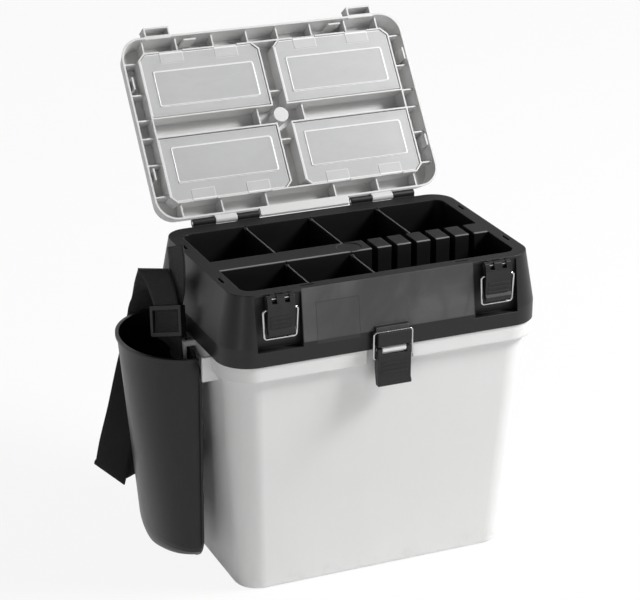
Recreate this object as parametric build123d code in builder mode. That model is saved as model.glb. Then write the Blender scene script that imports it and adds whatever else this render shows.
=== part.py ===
"""Ice fishing box: a pail, a hinged tray section, a ribbed lid with four bins, three latches,
a rod holster on the left side and a shoulder strap.

X runs to the right, Y to the back and Z up. The origin is at the middle of the pail's base.
The lid stands open and the tray section is shut, with its latch closed. All sizes are in mm.
"""

import os
from math import cos, radians, sin, sqrt

from build123d import *

os.makedirs("parts", exist_ok=True)

# Clearances
RUN = 0.05  # radial play of a pin in its hole
GAP = 0.3  # between pieces that move past each other or lie close together
SEAT_GAP = 0.2  # between the pail's rim and the tray section

# Pail
RIM_W, RIM_D, RIM_R = 372.0, 235.6, 36.0
RIM_OUT = 5.7  # rim beyond the wall
TAPER_W, TAPER_D = 18.0, 18.5  # of each wall, from the rim's foot down to the base
NECK_W, NECK_D, NECK_R = RIM_W - 2 * RIM_OUT, RIM_D - 2 * RIM_OUT, 34.0  # wall where the rim starts
BASE_W, BASE_D, BASE_R = NECK_W - 2 * TAPER_W, NECK_D - 2 * TAPER_D, 28.0
PAIL_H = 279.0
RIM_H = 17.0
RIM_T = 2.6
PAIL_WALL = 3.0
PAIL_FLOOR = 3.5
FOOT_R = 5.0
NECK_Z = PAIL_H - RIM_H
RIM_PLATE_Z = PAIL_H - RIM_T

# Lugs on the pail's sides
LUG_OUT = 14.0  # reach beyond the rim
LUG_T = 3.5
LUG_H = 21.0
LUG_ARM_H = 6.0
LUG_Y = 3.5  # middle of the strap slot
SLOT_L = 42.0
GUSSET_Y = -69.0
GUSSET_T = 3.0
GUSSET_H = 28.0
GUSSET_OUT = 11.5
LUG_X = RIM_W / 2 + LUG_OUT

# Tray section
SKIRT_OUT = 1.15  # skirt beyond the pail's rim
SLOPE_W, SLOPE_D = 11.05, 8.65  # of each wall, from the skirt up to the top
SKIRT_W, SKIRT_D, SKIRT_R = RIM_W + 2 * SKIRT_OUT, RIM_D + 2 * SKIRT_OUT, 36.0
SKIRT_H = 21.0
TOP_W, TOP_D, TOP_R = SKIRT_W - 2 * SLOPE_W, SKIRT_D - 2 * SLOPE_D, 26.0
SECTION_H = 78.8
SECTION_WALL = 2.6
FLANGE_T = 3.0
SECTION_Z = PAIL_H + SEAT_GAP
SKIRT_Z = SECTION_Z + SKIRT_H
TOP_Z = SECTION_Z + SECTION_H

# Tray inside the section
FLANGE_FRONT, FLANGE_BACK, FLANGE_SIDE = 13.3, 19.8, 15.1
TRAY_R = 12.0
TRAY_DEPTH = 67.0
TRAY_WALL = 2.4
TRAY_FLOOR = 2.6
SPINE_Y = -15.5
SPINE_D = 29.0
SPINE_WALL = 2.6
COMB_FIRST = 21.5
COMB_PITCH = 23.8
COMB_COUNT = 6
COMB_SLOT = 7.2
COMB_DEPTH = 40.0
DISC_R, DISC_X, DISC_DEPTH = 14.0, -3.0, 0.8
TRAY_X = TOP_W / 2 - FLANGE_SIDE
TRAY_FRONT = -TOP_D / 2 + FLANGE_FRONT
TRAY_BACK = TOP_D / 2 - FLANGE_BACK
TRAY_Z = TOP_Z - TRAY_DEPTH
SPINE_FRONT = SPINE_Y - SPINE_D / 2
SPINE_BACK = SPINE_Y + SPINE_D / 2

# Dividers
DIVIDER_T = 1.6
DIVIDER_KEY = 1.0  # reach into each guide groove
DIVIDER_PLAY = 0.2
REAR_X = (-84.0, -4.0, 79.5)
FRONT_X = (-84.0, -7.0)
REAR_DROP, FRONT_DROP = 1.5, 3.3  # below the section's top
NUB_L, NUB_T, NUB_H = 5.0, 3.6, 4.0

# Lid
LID_GAP = 0.3
LID_H = 24.7
LID_DRAFT = 4.6
LID_WALL = 2.4
LID_TOP = 2.5
LID_EDGE_R = 3.0
LID_OPEN = 126.7
HINGE_OUT, HINGE_UP = 5.3, 2.8
KNUCKLE_R = 4.3
LID_PIN_R = 1.6
KNUCKLES = ((57.5, 84.0), (110.7, 137.8))  # on the section, each side of the middle
KNUCKLE_GAP = 0.4
STRIP_L, STRIP_T, STRIP_H = 110.0, 8.0, 7.0
HINGE_Y = TOP_D / 2 + HINGE_OUT
HINGE_Z = TOP_Z + HINGE_UP
LID_Z = TOP_Z + LID_GAP
LID_ROOF = LID_Z + LID_H - LID_TOP

# Bins and ribs on the lid's inner side
BIN_IN = 8.5
BIN_W = 149.0
BIN_MID = 10.5
BIN_D = 80.8
BIN_WALL = 2.0
BIN_CHAMFER = 8.5
RIB_T = 1.8
RIB_DROP = 4.0
SIDE_RIBS = (80.3, 42.2, 10.2, -11.6, -42.7, -80.7)
FRONT_RIBS = (19.0, 62.0, 106.5, 147.0)
BACK_RIBS = (42.5, 97.0, 145.5)
CHANNEL_RIBS = (-29.4, 30.4)
MIDDLE_RIBS = (-28.0, 28.0)
BOSS_R = 9.0
TAB_T = 2.0
TAB_DEPTH = 2.5
TAB_PLAY = 0.6
SIDE_TAB_X = TOP_W / 2 - 6.5
SIDE_TABS = ((-55.8, 14.5), (54.3, 14.0))  # middle and length
FRONT_TAB_X, FRONT_TAB_L, FRONT_TAB_Y = 91.0, 15.0, 8.7 - TOP_D / 2

# Bin covers
COVER_T = 1.6
COVER_SINK = 1.0
COVER_PLAY = 0.5
COVER_PIVOT = 3.8  # from the bin's wall to the cover's axis
COVER_BACK = 2.6  # plate behind its axis
BARREL_R, STUB_R, STUB_L = 1.7, 1.2, 1.4
PIVOT_SINK = 3.3
PANEL_X, PANEL_W = 82.0, 122.0
PANEL_Y, PANEL_D = 46.3, 42.0
PANEL_RISE = 0.6
CLIP_X = (49.5, 116.5)
CLIP_W, CLIP_D, CLIP_H = 28.0, 14.0, 2.8
CLIP_RISE = 0.6
COVER_Y = BIN_MID + BIN_WALL + COVER_PIVOT
COVER_Z = LID_Z + PIVOT_SINK
BIN_FAR = BIN_MID + BIN_D

# Lid latches
LATCH_X = 127.4
RECESS_W = 52.0
RECESS_UP, RECESS_IN = 16.3, 1.8
RECESS_Z = SECTION_Z + RECESS_UP
RECESS_Y = -TOP_D / 2 + RECESS_IN
LEVER_W = 31.0
LEVER_LEN = 38.6
LEVER_EYE_R = 3.7
LATCH_OUT, LATCH_DROP = 5.1, 4.4
LATCH_PIN_R = 1.4
HOOK_X, HOOK_W, HOOK_R = 7.3, 4.5, 3.4
HOOK_MOUTH = 1.2
BAIL_WIRE = 2.4
BAIL_DROP = 11.1  # bail's axis below the lever's
BAIL_OUT = 2.6
BAIL_LEN = 32.4
BAIL_W, BAIL_BAR_W = 39.6, 36.4
BAIL_IN = 3.0  # length of each end in the lever
BAIL_BEND = 3.2
STRIKE_PLAY = 1.5  # beside the strike, inside the bail
STRIKE_W = BAIL_BAR_W - BAIL_WIRE - 2 * STRIKE_PLAY
STRIKE_D, STRIKE_WALL = 11.0, 2.0
STRIKE_LIP, STRIKE_LIP_H = 1.4, 1.3
LATCH_Y = -TOP_D / 2 - LATCH_OUT
LATCH_Z = TOP_Z - LATCH_DROP
BAIL_Y = LATCH_Y - BAIL_OUT
BAIL_Z = LATCH_Z - BAIL_DROP
STRIKE_TOP = BAIL_Z + BAIL_LEN - BAIL_WIRE / 2 - GAP

# Latch between the pail and the tray section
CENTRE_W = 39.0
CENTRE_EYE_R = 4.0
CENTRE_PIN_R = 1.6
CENTRE_LEN = 40.0
CENTRE_T = 3.2
CENTRE_OUT = 6.1
CENTRE_UP = 1.0
KNOB_W = 28.0
CENTRE_BAIL_DROP = 10.0
CENTRE_BAIL_LEN = 29.5
CENTRE_BAIL_W = 45.0
CENTRE_GAP_W = 54.4
CATCH_H = 15.5
CATCH_BACK_H = 5.0
CATCH_D = 11.0
CATCH_LIP = 3.2
CENTRE_Y = -SKIRT_D / 2 - CENTRE_OUT
CENTRE_Z = PAIL_H + CENTRE_UP
CENTRE_BAIL_Z = CENTRE_Z - CENTRE_BAIL_DROP
CENTRE_BAR_Z = CENTRE_BAIL_Z + CENTRE_BAIL_LEN
CATCH_Z = CENTRE_Z + CENTRE_EYE_R + GAP + 0.5
CATCH_FRONT = -SKIRT_D / 2 - CATCH_D

# Hinge between the pail and the tray section
TILT_OUT = 5.3
TILT_EYE_R, TILT_PIN_R = 4.5, 1.8
TILT_X = 120.0
TILT_MID_L, TILT_END_L = 19.4, 15.0
TILT_Y = SKIRT_D / 2 + TILT_OUT
TILT_Z = PAIL_H + SEAT_GAP / 2

# Rod holster
PLATE_T = 2.5
PLATE_EDGE = 3.0
HOLSTER_Y = 26.0
HOLSTER_A, HOLSTER_B = 76.0, 61.3  # half length and depth at the mouth
HOLSTER_TAPER = 26.0  # of the depth, down to the foot
HOLSTER_Z = 22.0
HOLSTER_WALL = 2.4
BEAD_T, BEAD_H = 1.6, 3.2
MOUTH_DROP = 2.5  # mouth below the plate's top
TOE_H, TOE_A, TOE_B = 20.0, 46.0, 4.0  # rounded foot: height, and how far it draws in
TOE_STEPS = (0.0, 0.05, 0.2, 0.45, 0.72, 1.0)
PLATE_R, PLATE_FOOT_R = 6.0, 34.0
LOWER = 0.3  # plate's top below the lug's arms

# Strap
STRAP_W, STRAP_T = 38.0, 1.5
STRAP_LEAN = 14.0
LOOP_Y, LOOP_Z = LUG_Y - 1.5, PAIL_H - 11.0
LOOP_IN_TOP, LOOP_OUT_TOP = 16.5, -6.0  # ends of the left loop's two layers
GLIDE_AT = (8.0, 3.6, 14.8)  # adjuster's middle: out from the lug's bar, back, and up from the rim
GLIDE_FACE = (-0.898, -0.371, 0.24)
GLIDE_WIDE = (-0.43, 0.855, -0.287)
GLIDE_H, GLIDE_BAR, GLIDE_T = 34.0, 5.0, 2.0
GLIDE_DEEP = 3.0  # middle bar, between the strap's layers
GLIDE_RAIL = 4.0
GLIDE_PLAY = 1.0
RIGHT_LOOP_H = 42.0
BAR_IN = LUG_X - LUG_T
LAYER_IN = BAR_IN - GAP - STRAP_T  # strap's two layers beside the lug's bar
LAYER_OUT = LUG_X + GAP
PLATE_X = LAYER_IN - 0.5


def wall_size(z, inset=0.0):
    """Width, depth and corner radius of the pail's wall at a height."""
    share = z / NECK_Z
    width = BASE_W + (NECK_W - BASE_W) * share - 2 * inset
    depth = BASE_D + (NECK_D - BASE_D) * share - 2 * inset
    return width, depth, BASE_R + (NECK_R - BASE_R) * share - inset


def slope_size(z, inset=0.0):
    """Width, depth and corner radius of the section's sloping wall at a height."""
    share = (z - SKIRT_Z) / (TOP_Z - SKIRT_Z)
    width = SKIRT_W + (TOP_W - SKIRT_W) * share - 2 * inset
    depth = SKIRT_D + (TOP_D - SKIRT_D) * share - 2 * inset
    return width, depth, SKIRT_R + (TOP_R - SKIRT_R) * share - inset


# Closed, the lid lies in the box's own axes. This plane carries those axes to the open lid.
LID = Plane(Location((0, HINGE_Y, HINGE_Z), (-LID_OPEN, 0, 0)) * Location((0, -HINGE_Y, -HINGE_Z)))


def lid_across(x):
    """Plane across the lid at x, with the closed lid's Y and Z as its two axes."""
    return Plane(LID.location * Plane.YZ.offset(x).location)


def span(low, high):
    """Middle and length of a stretch."""
    return (low + high) / 2, high - low


# Pail
with BuildPart() as pail:
    with BuildSketch():
        RectangleRounded(*wall_size(0))
    with BuildSketch(Plane.XY.offset(RIM_PLATE_Z)):
        RectangleRounded(*wall_size(RIM_PLATE_Z))
    loft(ruled=True)
    fillet(pail.edges().group_by(Axis.Z)[0], FOOT_R)
    with BuildSketch(Plane.XY.offset(NECK_Z)):
        RectangleRounded(RIM_W, RIM_D, RIM_R)
        RectangleRounded(RIM_W - 2 * RIM_T, RIM_D - 2 * RIM_T, RIM_R - RIM_T, mode=Mode.SUBTRACT)
    extrude(amount=RIM_H)
    with BuildSketch(Plane.XY.offset(RIM_PLATE_Z)):
        RectangleRounded(RIM_W, RIM_D, RIM_R)
    extrude(amount=RIM_T)

    # The rim is open in front of the wall where the middle latch works.
    front_wall = wall_size(PAIL_H)[1] / 2
    with BuildSketch(Plane.XY.offset(NECK_Z)):
        with Locations((0, -(front_wall + RIM_D) / 2)):
            Rectangle(CENTRE_GAP_W, RIM_D - front_wall)
    extrude(amount=RIM_H, mode=Mode.SUBTRACT)

    # Knob that carries the middle latch's lever
    root = wall_size(NECK_Z)[1] / 2 - PAIL_WALL / 3
    with BuildSketch(Plane.YZ.offset(-KNOB_W / 2)):
        with BuildLine():
            Polyline(
                (-root, NECK_Z + 4),
                (-root, PAIL_H - GAP),
                (CENTRE_Y, PAIL_H - GAP),
                (CENTRE_Y - CENTRE_EYE_R * 0.9, CENTRE_Z - CENTRE_EYE_R * 0.4),
                close=True,
            )
        make_face()
        with Locations((CENTRE_Y, CENTRE_Z)):
            Circle(CENTRE_EYE_R)
            Circle(CENTRE_PIN_R + RUN, mode=Mode.SUBTRACT)
    extrude(amount=KNOB_W)

    # Lugs: a gusset near the front and a strap bar on two arms, on each side
    for side in (-1, 1):
        foot_z = PAIL_H - GUSSET_H
        foot_x = wall_size(foot_z, PAIL_WALL / 3)[0] / 2
        head_x = wall_size(PAIL_H, PAIL_WALL / 3)[0] / 2
        gusset_x = RIM_W / 2 + GUSSET_OUT
        with BuildSketch(Plane.XZ.offset(-GUSSET_Y - GUSSET_T / 2)):
            with BuildLine():
                Polyline(
                    (side * foot_x, foot_z),
                    (side * gusset_x, foot_z),
                    (side * gusset_x, PAIL_H),
                    (side * head_x, PAIL_H),
                    close=True,
                )
            make_face()
        extrude(amount=GUSSET_T)
        arm_x, arm_l = span(wall_size(PAIL_H, PAIL_WALL / 3)[0] / 2, LUG_X)
        with BuildSketch(Plane.XY.offset(PAIL_H - LUG_ARM_H)):
            with Locations((side * arm_x, LUG_Y)):
                with GridLocations(0, SLOT_L + LUG_T, 1, 2):
                    Rectangle(arm_l, LUG_T)
        extrude(amount=LUG_ARM_H)
        with BuildSketch(Plane.XY.offset(PAIL_H - LUG_H)):
            with Locations((side * (LUG_X - LUG_T / 2), LUG_Y)):
                Rectangle(LUG_T, SLOT_L + 2 * LUG_T)
        extrude(amount=LUG_H)

    # Middle knuckles of the section's hinge, on the back of the rim
    for side in (-1, 1):
        with BuildSketch(Plane.YZ.offset(side * TILT_X - TILT_MID_L / 2)):
            with Locations((span(RIM_D / 2 - RIM_T / 2, TILT_Y)[0], TILT_Z - TILT_EYE_R / 2)):
                Rectangle(TILT_Y - RIM_D / 2 + RIM_T / 2, TILT_EYE_R)
            with Locations((TILT_Y, TILT_Z)):
                Circle(TILT_EYE_R)
                Circle(TILT_PIN_R + RUN, mode=Mode.SUBTRACT)
        extrude(amount=TILT_MID_L)

    with BuildSketch(Plane.XY.offset(PAIL_FLOOR)):
        RectangleRounded(*wall_size(PAIL_FLOOR, PAIL_WALL))
    with BuildSketch(Plane.XY.offset(PAIL_H)):
        RectangleRounded(*wall_size(PAIL_H, PAIL_WALL))
    loft(ruled=True, mode=Mode.SUBTRACT)

pail.part.label = "bucket"
export_step(pail.part, "parts/bucket.step")

# Space inside the tray section's outer wall, clear of the two latch recesses
with BuildPart() as hollow:
    with BuildSketch(Plane.XY.offset(SECTION_Z)):
        RectangleRounded(SKIRT_W - 2 * SECTION_WALL, SKIRT_D - 2 * SECTION_WALL, SKIRT_R - SECTION_WALL)
    extrude(amount=SKIRT_H)
    with BuildSketch(Plane.XY.offset(SKIRT_Z)):
        RectangleRounded(*slope_size(SKIRT_Z, SECTION_WALL))
    with BuildSketch(Plane.XY.offset(TOP_Z - FLANGE_T)):
        RectangleRounded(*slope_size(TOP_Z - FLANGE_T, SECTION_WALL))
    loft(ruled=True)
    surround_y, surround_d = span(-SKIRT_D / 2, RECESS_Y + SECTION_WALL)
    with BuildSketch(Plane.XY.offset(RECESS_Z - SECTION_WALL)):
        with Locations((-LATCH_X, surround_y), (LATCH_X, surround_y)):
            Rectangle(RECESS_W + 2 * SECTION_WALL, surround_d)
    extrude(amount=TOP_Z - RECESS_Z + SECTION_WALL, mode=Mode.SUBTRACT)

# Tray section
with BuildPart() as section:
    with BuildSketch(Plane.XY.offset(SECTION_Z)):
        RectangleRounded(SKIRT_W, SKIRT_D, SKIRT_R)
    extrude(amount=SKIRT_H)
    with BuildSketch(Plane.XY.offset(SKIRT_Z)):
        RectangleRounded(*slope_size(SKIRT_Z))
    with BuildSketch(Plane.XY.offset(TOP_Z)):
        RectangleRounded(*slope_size(TOP_Z))
    loft(ruled=True)
    add(hollow.part, mode=Mode.SUBTRACT)

    # Tray with its spine
    tray_y, tray_d = span(TRAY_FRONT, TRAY_BACK)
    with BuildSketch(Plane.XY.offset(TRAY_Z - TRAY_FLOOR)):
        with Locations((0, tray_y)):
            RectangleRounded(2 * (TRAY_X + TRAY_WALL), tray_d + 2 * TRAY_WALL, TRAY_R + TRAY_WALL)
    extrude(amount=TRAY_DEPTH + TRAY_FLOOR - FLANGE_T / 2)
    with BuildSketch(Plane.XY.offset(TRAY_Z)):
        with Locations((0, tray_y)):
            RectangleRounded(2 * TRAY_X, tray_d, TRAY_R)
    extrude(amount=TRAY_DEPTH, mode=Mode.SUBTRACT)
    with BuildSketch(Plane.XY.offset(TRAY_Z - TRAY_FLOOR)):
        with Locations((0, SPINE_Y)):
            Rectangle(2 * TRAY_X + TRAY_WALL, SPINE_D)
    extrude(amount=TRAY_DEPTH + TRAY_FLOOR)
    comb_start = COMB_FIRST - COMB_SLOT / 2 - SPINE_WALL
    plain_x, plain_l = span(-TRAY_X + SPINE_WALL, comb_start)
    with BuildSketch(Plane.XY.offset(TRAY_Z - TRAY_FLOOR)):
        with Locations((plain_x, SPINE_Y)):
            Rectangle(plain_l, SPINE_D - 2 * SPINE_WALL)
    extrude(amount=TRAY_DEPTH + TRAY_FLOOR - SPINE_WALL, mode=Mode.SUBTRACT)
    comb_x, comb_l = span(comb_start + SPINE_WALL, TRAY_X - SPINE_WALL)
    with BuildSketch(Plane.XY.offset(TRAY_Z - TRAY_FLOOR)):
        with Locations((comb_x, SPINE_Y)):
            Rectangle(comb_l, SPINE_D - 2 * SPINE_WALL)
    extrude(amount=TRAY_DEPTH + TRAY_FLOOR - COMB_DEPTH - SPINE_WALL, mode=Mode.SUBTRACT)
    with BuildSketch(Plane.XY.offset(TOP_Z - COMB_DEPTH)):
        with Locations([(COMB_FIRST + COMB_PITCH * i, SPINE_Y) for i in range(COMB_COUNT)]):
            Rectangle(COMB_SLOT, SPINE_D)
    extrude(amount=COMB_DEPTH, mode=Mode.SUBTRACT)
    with BuildSketch(Plane.XY.offset(TOP_Z - DISC_DEPTH)):
        with Locations((DISC_X, SPINE_Y)):
            Circle(DISC_R)
    extrude(amount=DISC_DEPTH, mode=Mode.SUBTRACT)

    # Guide grooves for the dividers
    groove_w = DIVIDER_T + 2 * DIVIDER_PLAY
    groove_in = DIVIDER_KEY + DIVIDER_PLAY
    rear_y, rear_d = span(SPINE_BACK - groove_in, TRAY_BACK + groove_in)
    front_y, front_d = span(TRAY_FRONT - groove_in, SPINE_FRONT + groove_in)
    with BuildSketch(Plane.XY.offset(TRAY_Z)):
        with Locations([(x, rear_y) for x in REAR_X]):
            Rectangle(groove_w, rear_d)
        with Locations([(x, front_y) for x in FRONT_X]):
            Rectangle(groove_w, front_d)
    extrude(amount=TRAY_DEPTH, mode=Mode.SUBTRACT)

    # Latch recesses, under the flange
    recess_y, recess_d = span(-SKIRT_D / 2, RECESS_Y)
    with BuildSketch(Plane.XY.offset(RECESS_Z)):
        with Locations((-LATCH_X, recess_y), (LATCH_X, recess_y)):
            Rectangle(RECESS_W, recess_d)
    extrude(amount=TOP_Z - FLANGE_T - RECESS_Z, mode=Mode.SUBTRACT)

    # Hooks that hold the lid latches' pins, open to the front
    for hook_x in [side * LATCH_X + step for side in (-1, 1) for step in (-HOOK_X, HOOK_X)]:
        with BuildSketch(Plane.YZ.offset(hook_x - HOOK_W / 2)):
            with BuildLine():
                Polyline(
                    (RECESS_Y + SECTION_WALL / 2, LATCH_Z - HOOK_R),
                    (RECESS_Y + SECTION_WALL / 2, LATCH_Z + HOOK_R),
                    (LATCH_Y, LATCH_Z + HOOK_R),
                    (LATCH_Y, LATCH_Z - HOOK_R),
                    close=True,
                )
            make_face()
            with Locations((LATCH_Y, LATCH_Z)):
                Circle(HOOK_R)
                Circle(LATCH_PIN_R + RUN, mode=Mode.SUBTRACT)
            with Locations((LATCH_Y - HOOK_MOUTH - HOOK_R, LATCH_Z)):
                Rectangle(2 * HOOK_R, 2 * HOOK_R, mode=Mode.SUBTRACT)
        extrude(amount=HOOK_W)

    # Slots that take the lid's tabs
    tab_slot = TAB_T + 2 * TAB_PLAY
    with BuildSketch(Plane.XY.offset(TOP_Z - FLANGE_T)):
        for middle, length in SIDE_TABS:
            with Locations((-SIDE_TAB_X, middle), (SIDE_TAB_X, middle)):
                Rectangle(tab_slot, length + 2 * TAB_PLAY)
        with Locations((-FRONT_TAB_X, FRONT_TAB_Y), (FRONT_TAB_X, FRONT_TAB_Y)):
            Rectangle(FRONT_TAB_L + 2 * TAB_PLAY, tab_slot)
    extrude(amount=FLANGE_T, mode=Mode.SUBTRACT)

    # Catch of the middle latch: a block with a groove behind its lip
    catch_y, catch_d = span(CATCH_FRONT, -SKIRT_D / 2 + SECTION_WALL / 2)
    with BuildSketch(Plane.XY.offset(CATCH_Z)):
        with Locations((0, catch_y)):
            Rectangle(CENTRE_W, catch_d)
    extrude(amount=CATCH_H)
    groove_y, groove_d = span(CATCH_FRONT + CATCH_LIP, CENTRE_Y + BAIL_WIRE / 2 + GAP)
    groove_z = CENTRE_BAR_Z - BAIL_WIRE / 2 - GAP
    back_y, back_d = span(CENTRE_Y + BAIL_WIRE / 2 + GAP, -SKIRT_D / 2 + SECTION_WALL)
    with BuildSketch(Plane.XY.offset(CATCH_Z)):
        with Locations((0, back_y)):
            Rectangle(CENTRE_W, back_d)
    extrude(amount=CATCH_H + CATCH_BACK_H)
    with BuildSketch(Plane.XY.offset(groove_z)):
        with Locations((0, groove_y)):
            Rectangle(CENTRE_W, groove_d)
    extrude(amount=CATCH_Z + CATCH_H - groove_z, mode=Mode.SUBTRACT)

    # Knuckles of the lid's hinge
    for low, high in [(s * a, s * b) for s in (-1, 1) for a, b in KNUCKLES]:
        with BuildSketch(Plane.YZ.offset(min(low, high))):
            with BuildLine():
                Polyline(
                    (TOP_D / 2 - SECTION_WALL / 2, TOP_Z),
                    (TOP_D / 2 - SECTION_WALL / 2, TOP_Z - 8),
                    (TOP_D / 2 + 1.5, TOP_Z - 9.5),
                    (HINGE_Y + KNUCKLE_R * 0.85, HINGE_Z - KNUCKLE_R * 0.5),
                    (HINGE_Y, HINGE_Z),
                    (HINGE_Y - KNUCKLE_R, HINGE_Z - HINGE_UP),
                    close=True,
                )
            make_face()
            with Locations((HINGE_Y, HINGE_Z)):
                Circle(KNUCKLE_R)
                Circle(LID_PIN_R + RUN, mode=Mode.SUBTRACT)
        extrude(amount=abs(high - low))

    # Outer knuckles of the section's own hinge
    for tilt_x in [s * TILT_X + t for s in (-1, 1) for t in (-1, 1)]:
        inner = tilt_x - TILT_X if tilt_x > 0 else tilt_x + TILT_X
        start = tilt_x - inner + inner * (TILT_MID_L / 2 + KNUCKLE_GAP)
        with BuildSketch(Plane.YZ.offset(min(start, start + inner * TILT_END_L))):
            with Locations((span(SKIRT_D / 2 - SECTION_WALL / 2, TILT_Y)[0], TILT_Z + TILT_EYE_R / 2)):
                Rectangle(TILT_Y - SKIRT_D / 2 + SECTION_WALL / 2, TILT_EYE_R - SEAT_GAP)
            with Locations((TILT_Y, TILT_Z)):
                Circle(TILT_EYE_R)
                Circle(TILT_PIN_R + RUN, mode=Mode.SUBTRACT)
        extrude(amount=TILT_END_L)

section.part.label = "tray_section"
export_step(section.part, "parts/tray_section.step")

# Dividers: thin plates in the guide grooves, each with a small nub at its far end
for row, places, low, high, drop in (
    ("rear", REAR_X, SPINE_BACK, TRAY_BACK, REAR_DROP),
    ("front", FRONT_X, TRAY_FRONT, SPINE_FRONT, FRONT_DROP),
):
    mid, length = span(low - DIVIDER_KEY, high + DIVIDER_KEY)
    for number, place in enumerate(places, 1):
        with BuildPart() as divider:
            with BuildSketch(Plane.XY.offset(TRAY_Z + DIVIDER_PLAY)):
                with Locations((place, mid)):
                    Rectangle(DIVIDER_T, length)
            extrude(amount=TRAY_DEPTH - drop - DIVIDER_PLAY)
            with BuildSketch(Plane.XY.offset(TOP_Z - drop - NUB_H)):
                with Locations((place, high - NUB_L / 2 - GAP)):
                    Rectangle(NUB_T, NUB_L)
            extrude(amount=NUB_H)
        divider.part.label = f"divider_{row}_{number}"
        export_step(divider.part, f"parts/divider_{row}_{number}.step")


def bin_outline(side, row, inset):
    """Corners of a bin's outline, drawn in by inset, with two corners cut on its far side."""
    left, right = BIN_IN + inset, BIN_IN + BIN_W - inset
    near, far = BIN_MID + inset, BIN_FAR - inset
    cut = BIN_CHAMFER - inset * (2 - sqrt(2))
    corners = (
        (left, near),
        (right, near),
        (right, far - cut),
        (right - cut, far),
        (left + cut, far),
        (left, far - cut),
    )
    return [(side * x, row * y) for x, y in corners]


# Space inside the lid, clear of its bins
with BuildPart() as lid_hollow:
    roof_in = LID_WALL + LID_DRAFT * (LID_H - LID_TOP) / LID_H
    with BuildSketch(LID.offset(LID_Z)):
        RectangleRounded(TOP_W - 2 * LID_WALL, TOP_D - 2 * LID_WALL, TOP_R - LID_WALL)
    with BuildSketch(LID.offset(LID_ROOF)):
        RectangleRounded(TOP_W - 2 * roof_in, TOP_D - 2 * roof_in, TOP_R - roof_in)
    loft(ruled=True)
    for side in (-1, 1):
        for row in (-1, 1):
            with BuildSketch(LID.offset(LID_Z)):
                with BuildLine():
                    Polyline(*bin_outline(side, row, 0), close=True)
                make_face()
                with BuildLine():
                    Polyline(*bin_outline(side, row, BIN_WALL), close=True)
                make_face(mode=Mode.SUBTRACT)
            extrude(amount=LID_H, mode=Mode.SUBTRACT)
    bin_edge = BIN_IN + BIN_W
    join_x, join_y = bin_edge - BIN_WALL / 2, BIN_FAR - BIN_WALL / 2
    with BuildSketch(LID.offset(LID_Z)):
        with Locations((-join_x, 0), (join_x, 0)):
            Rectangle(BIN_WALL, 2 * BIN_MID + BIN_WALL)
        with Locations((0, -join_y), (0, join_y)):
            Rectangle(2 * (BIN_IN + BIN_CHAMFER) + BIN_WALL, BIN_WALL)
    extrude(amount=LID_H, mode=Mode.SUBTRACT)

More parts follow.
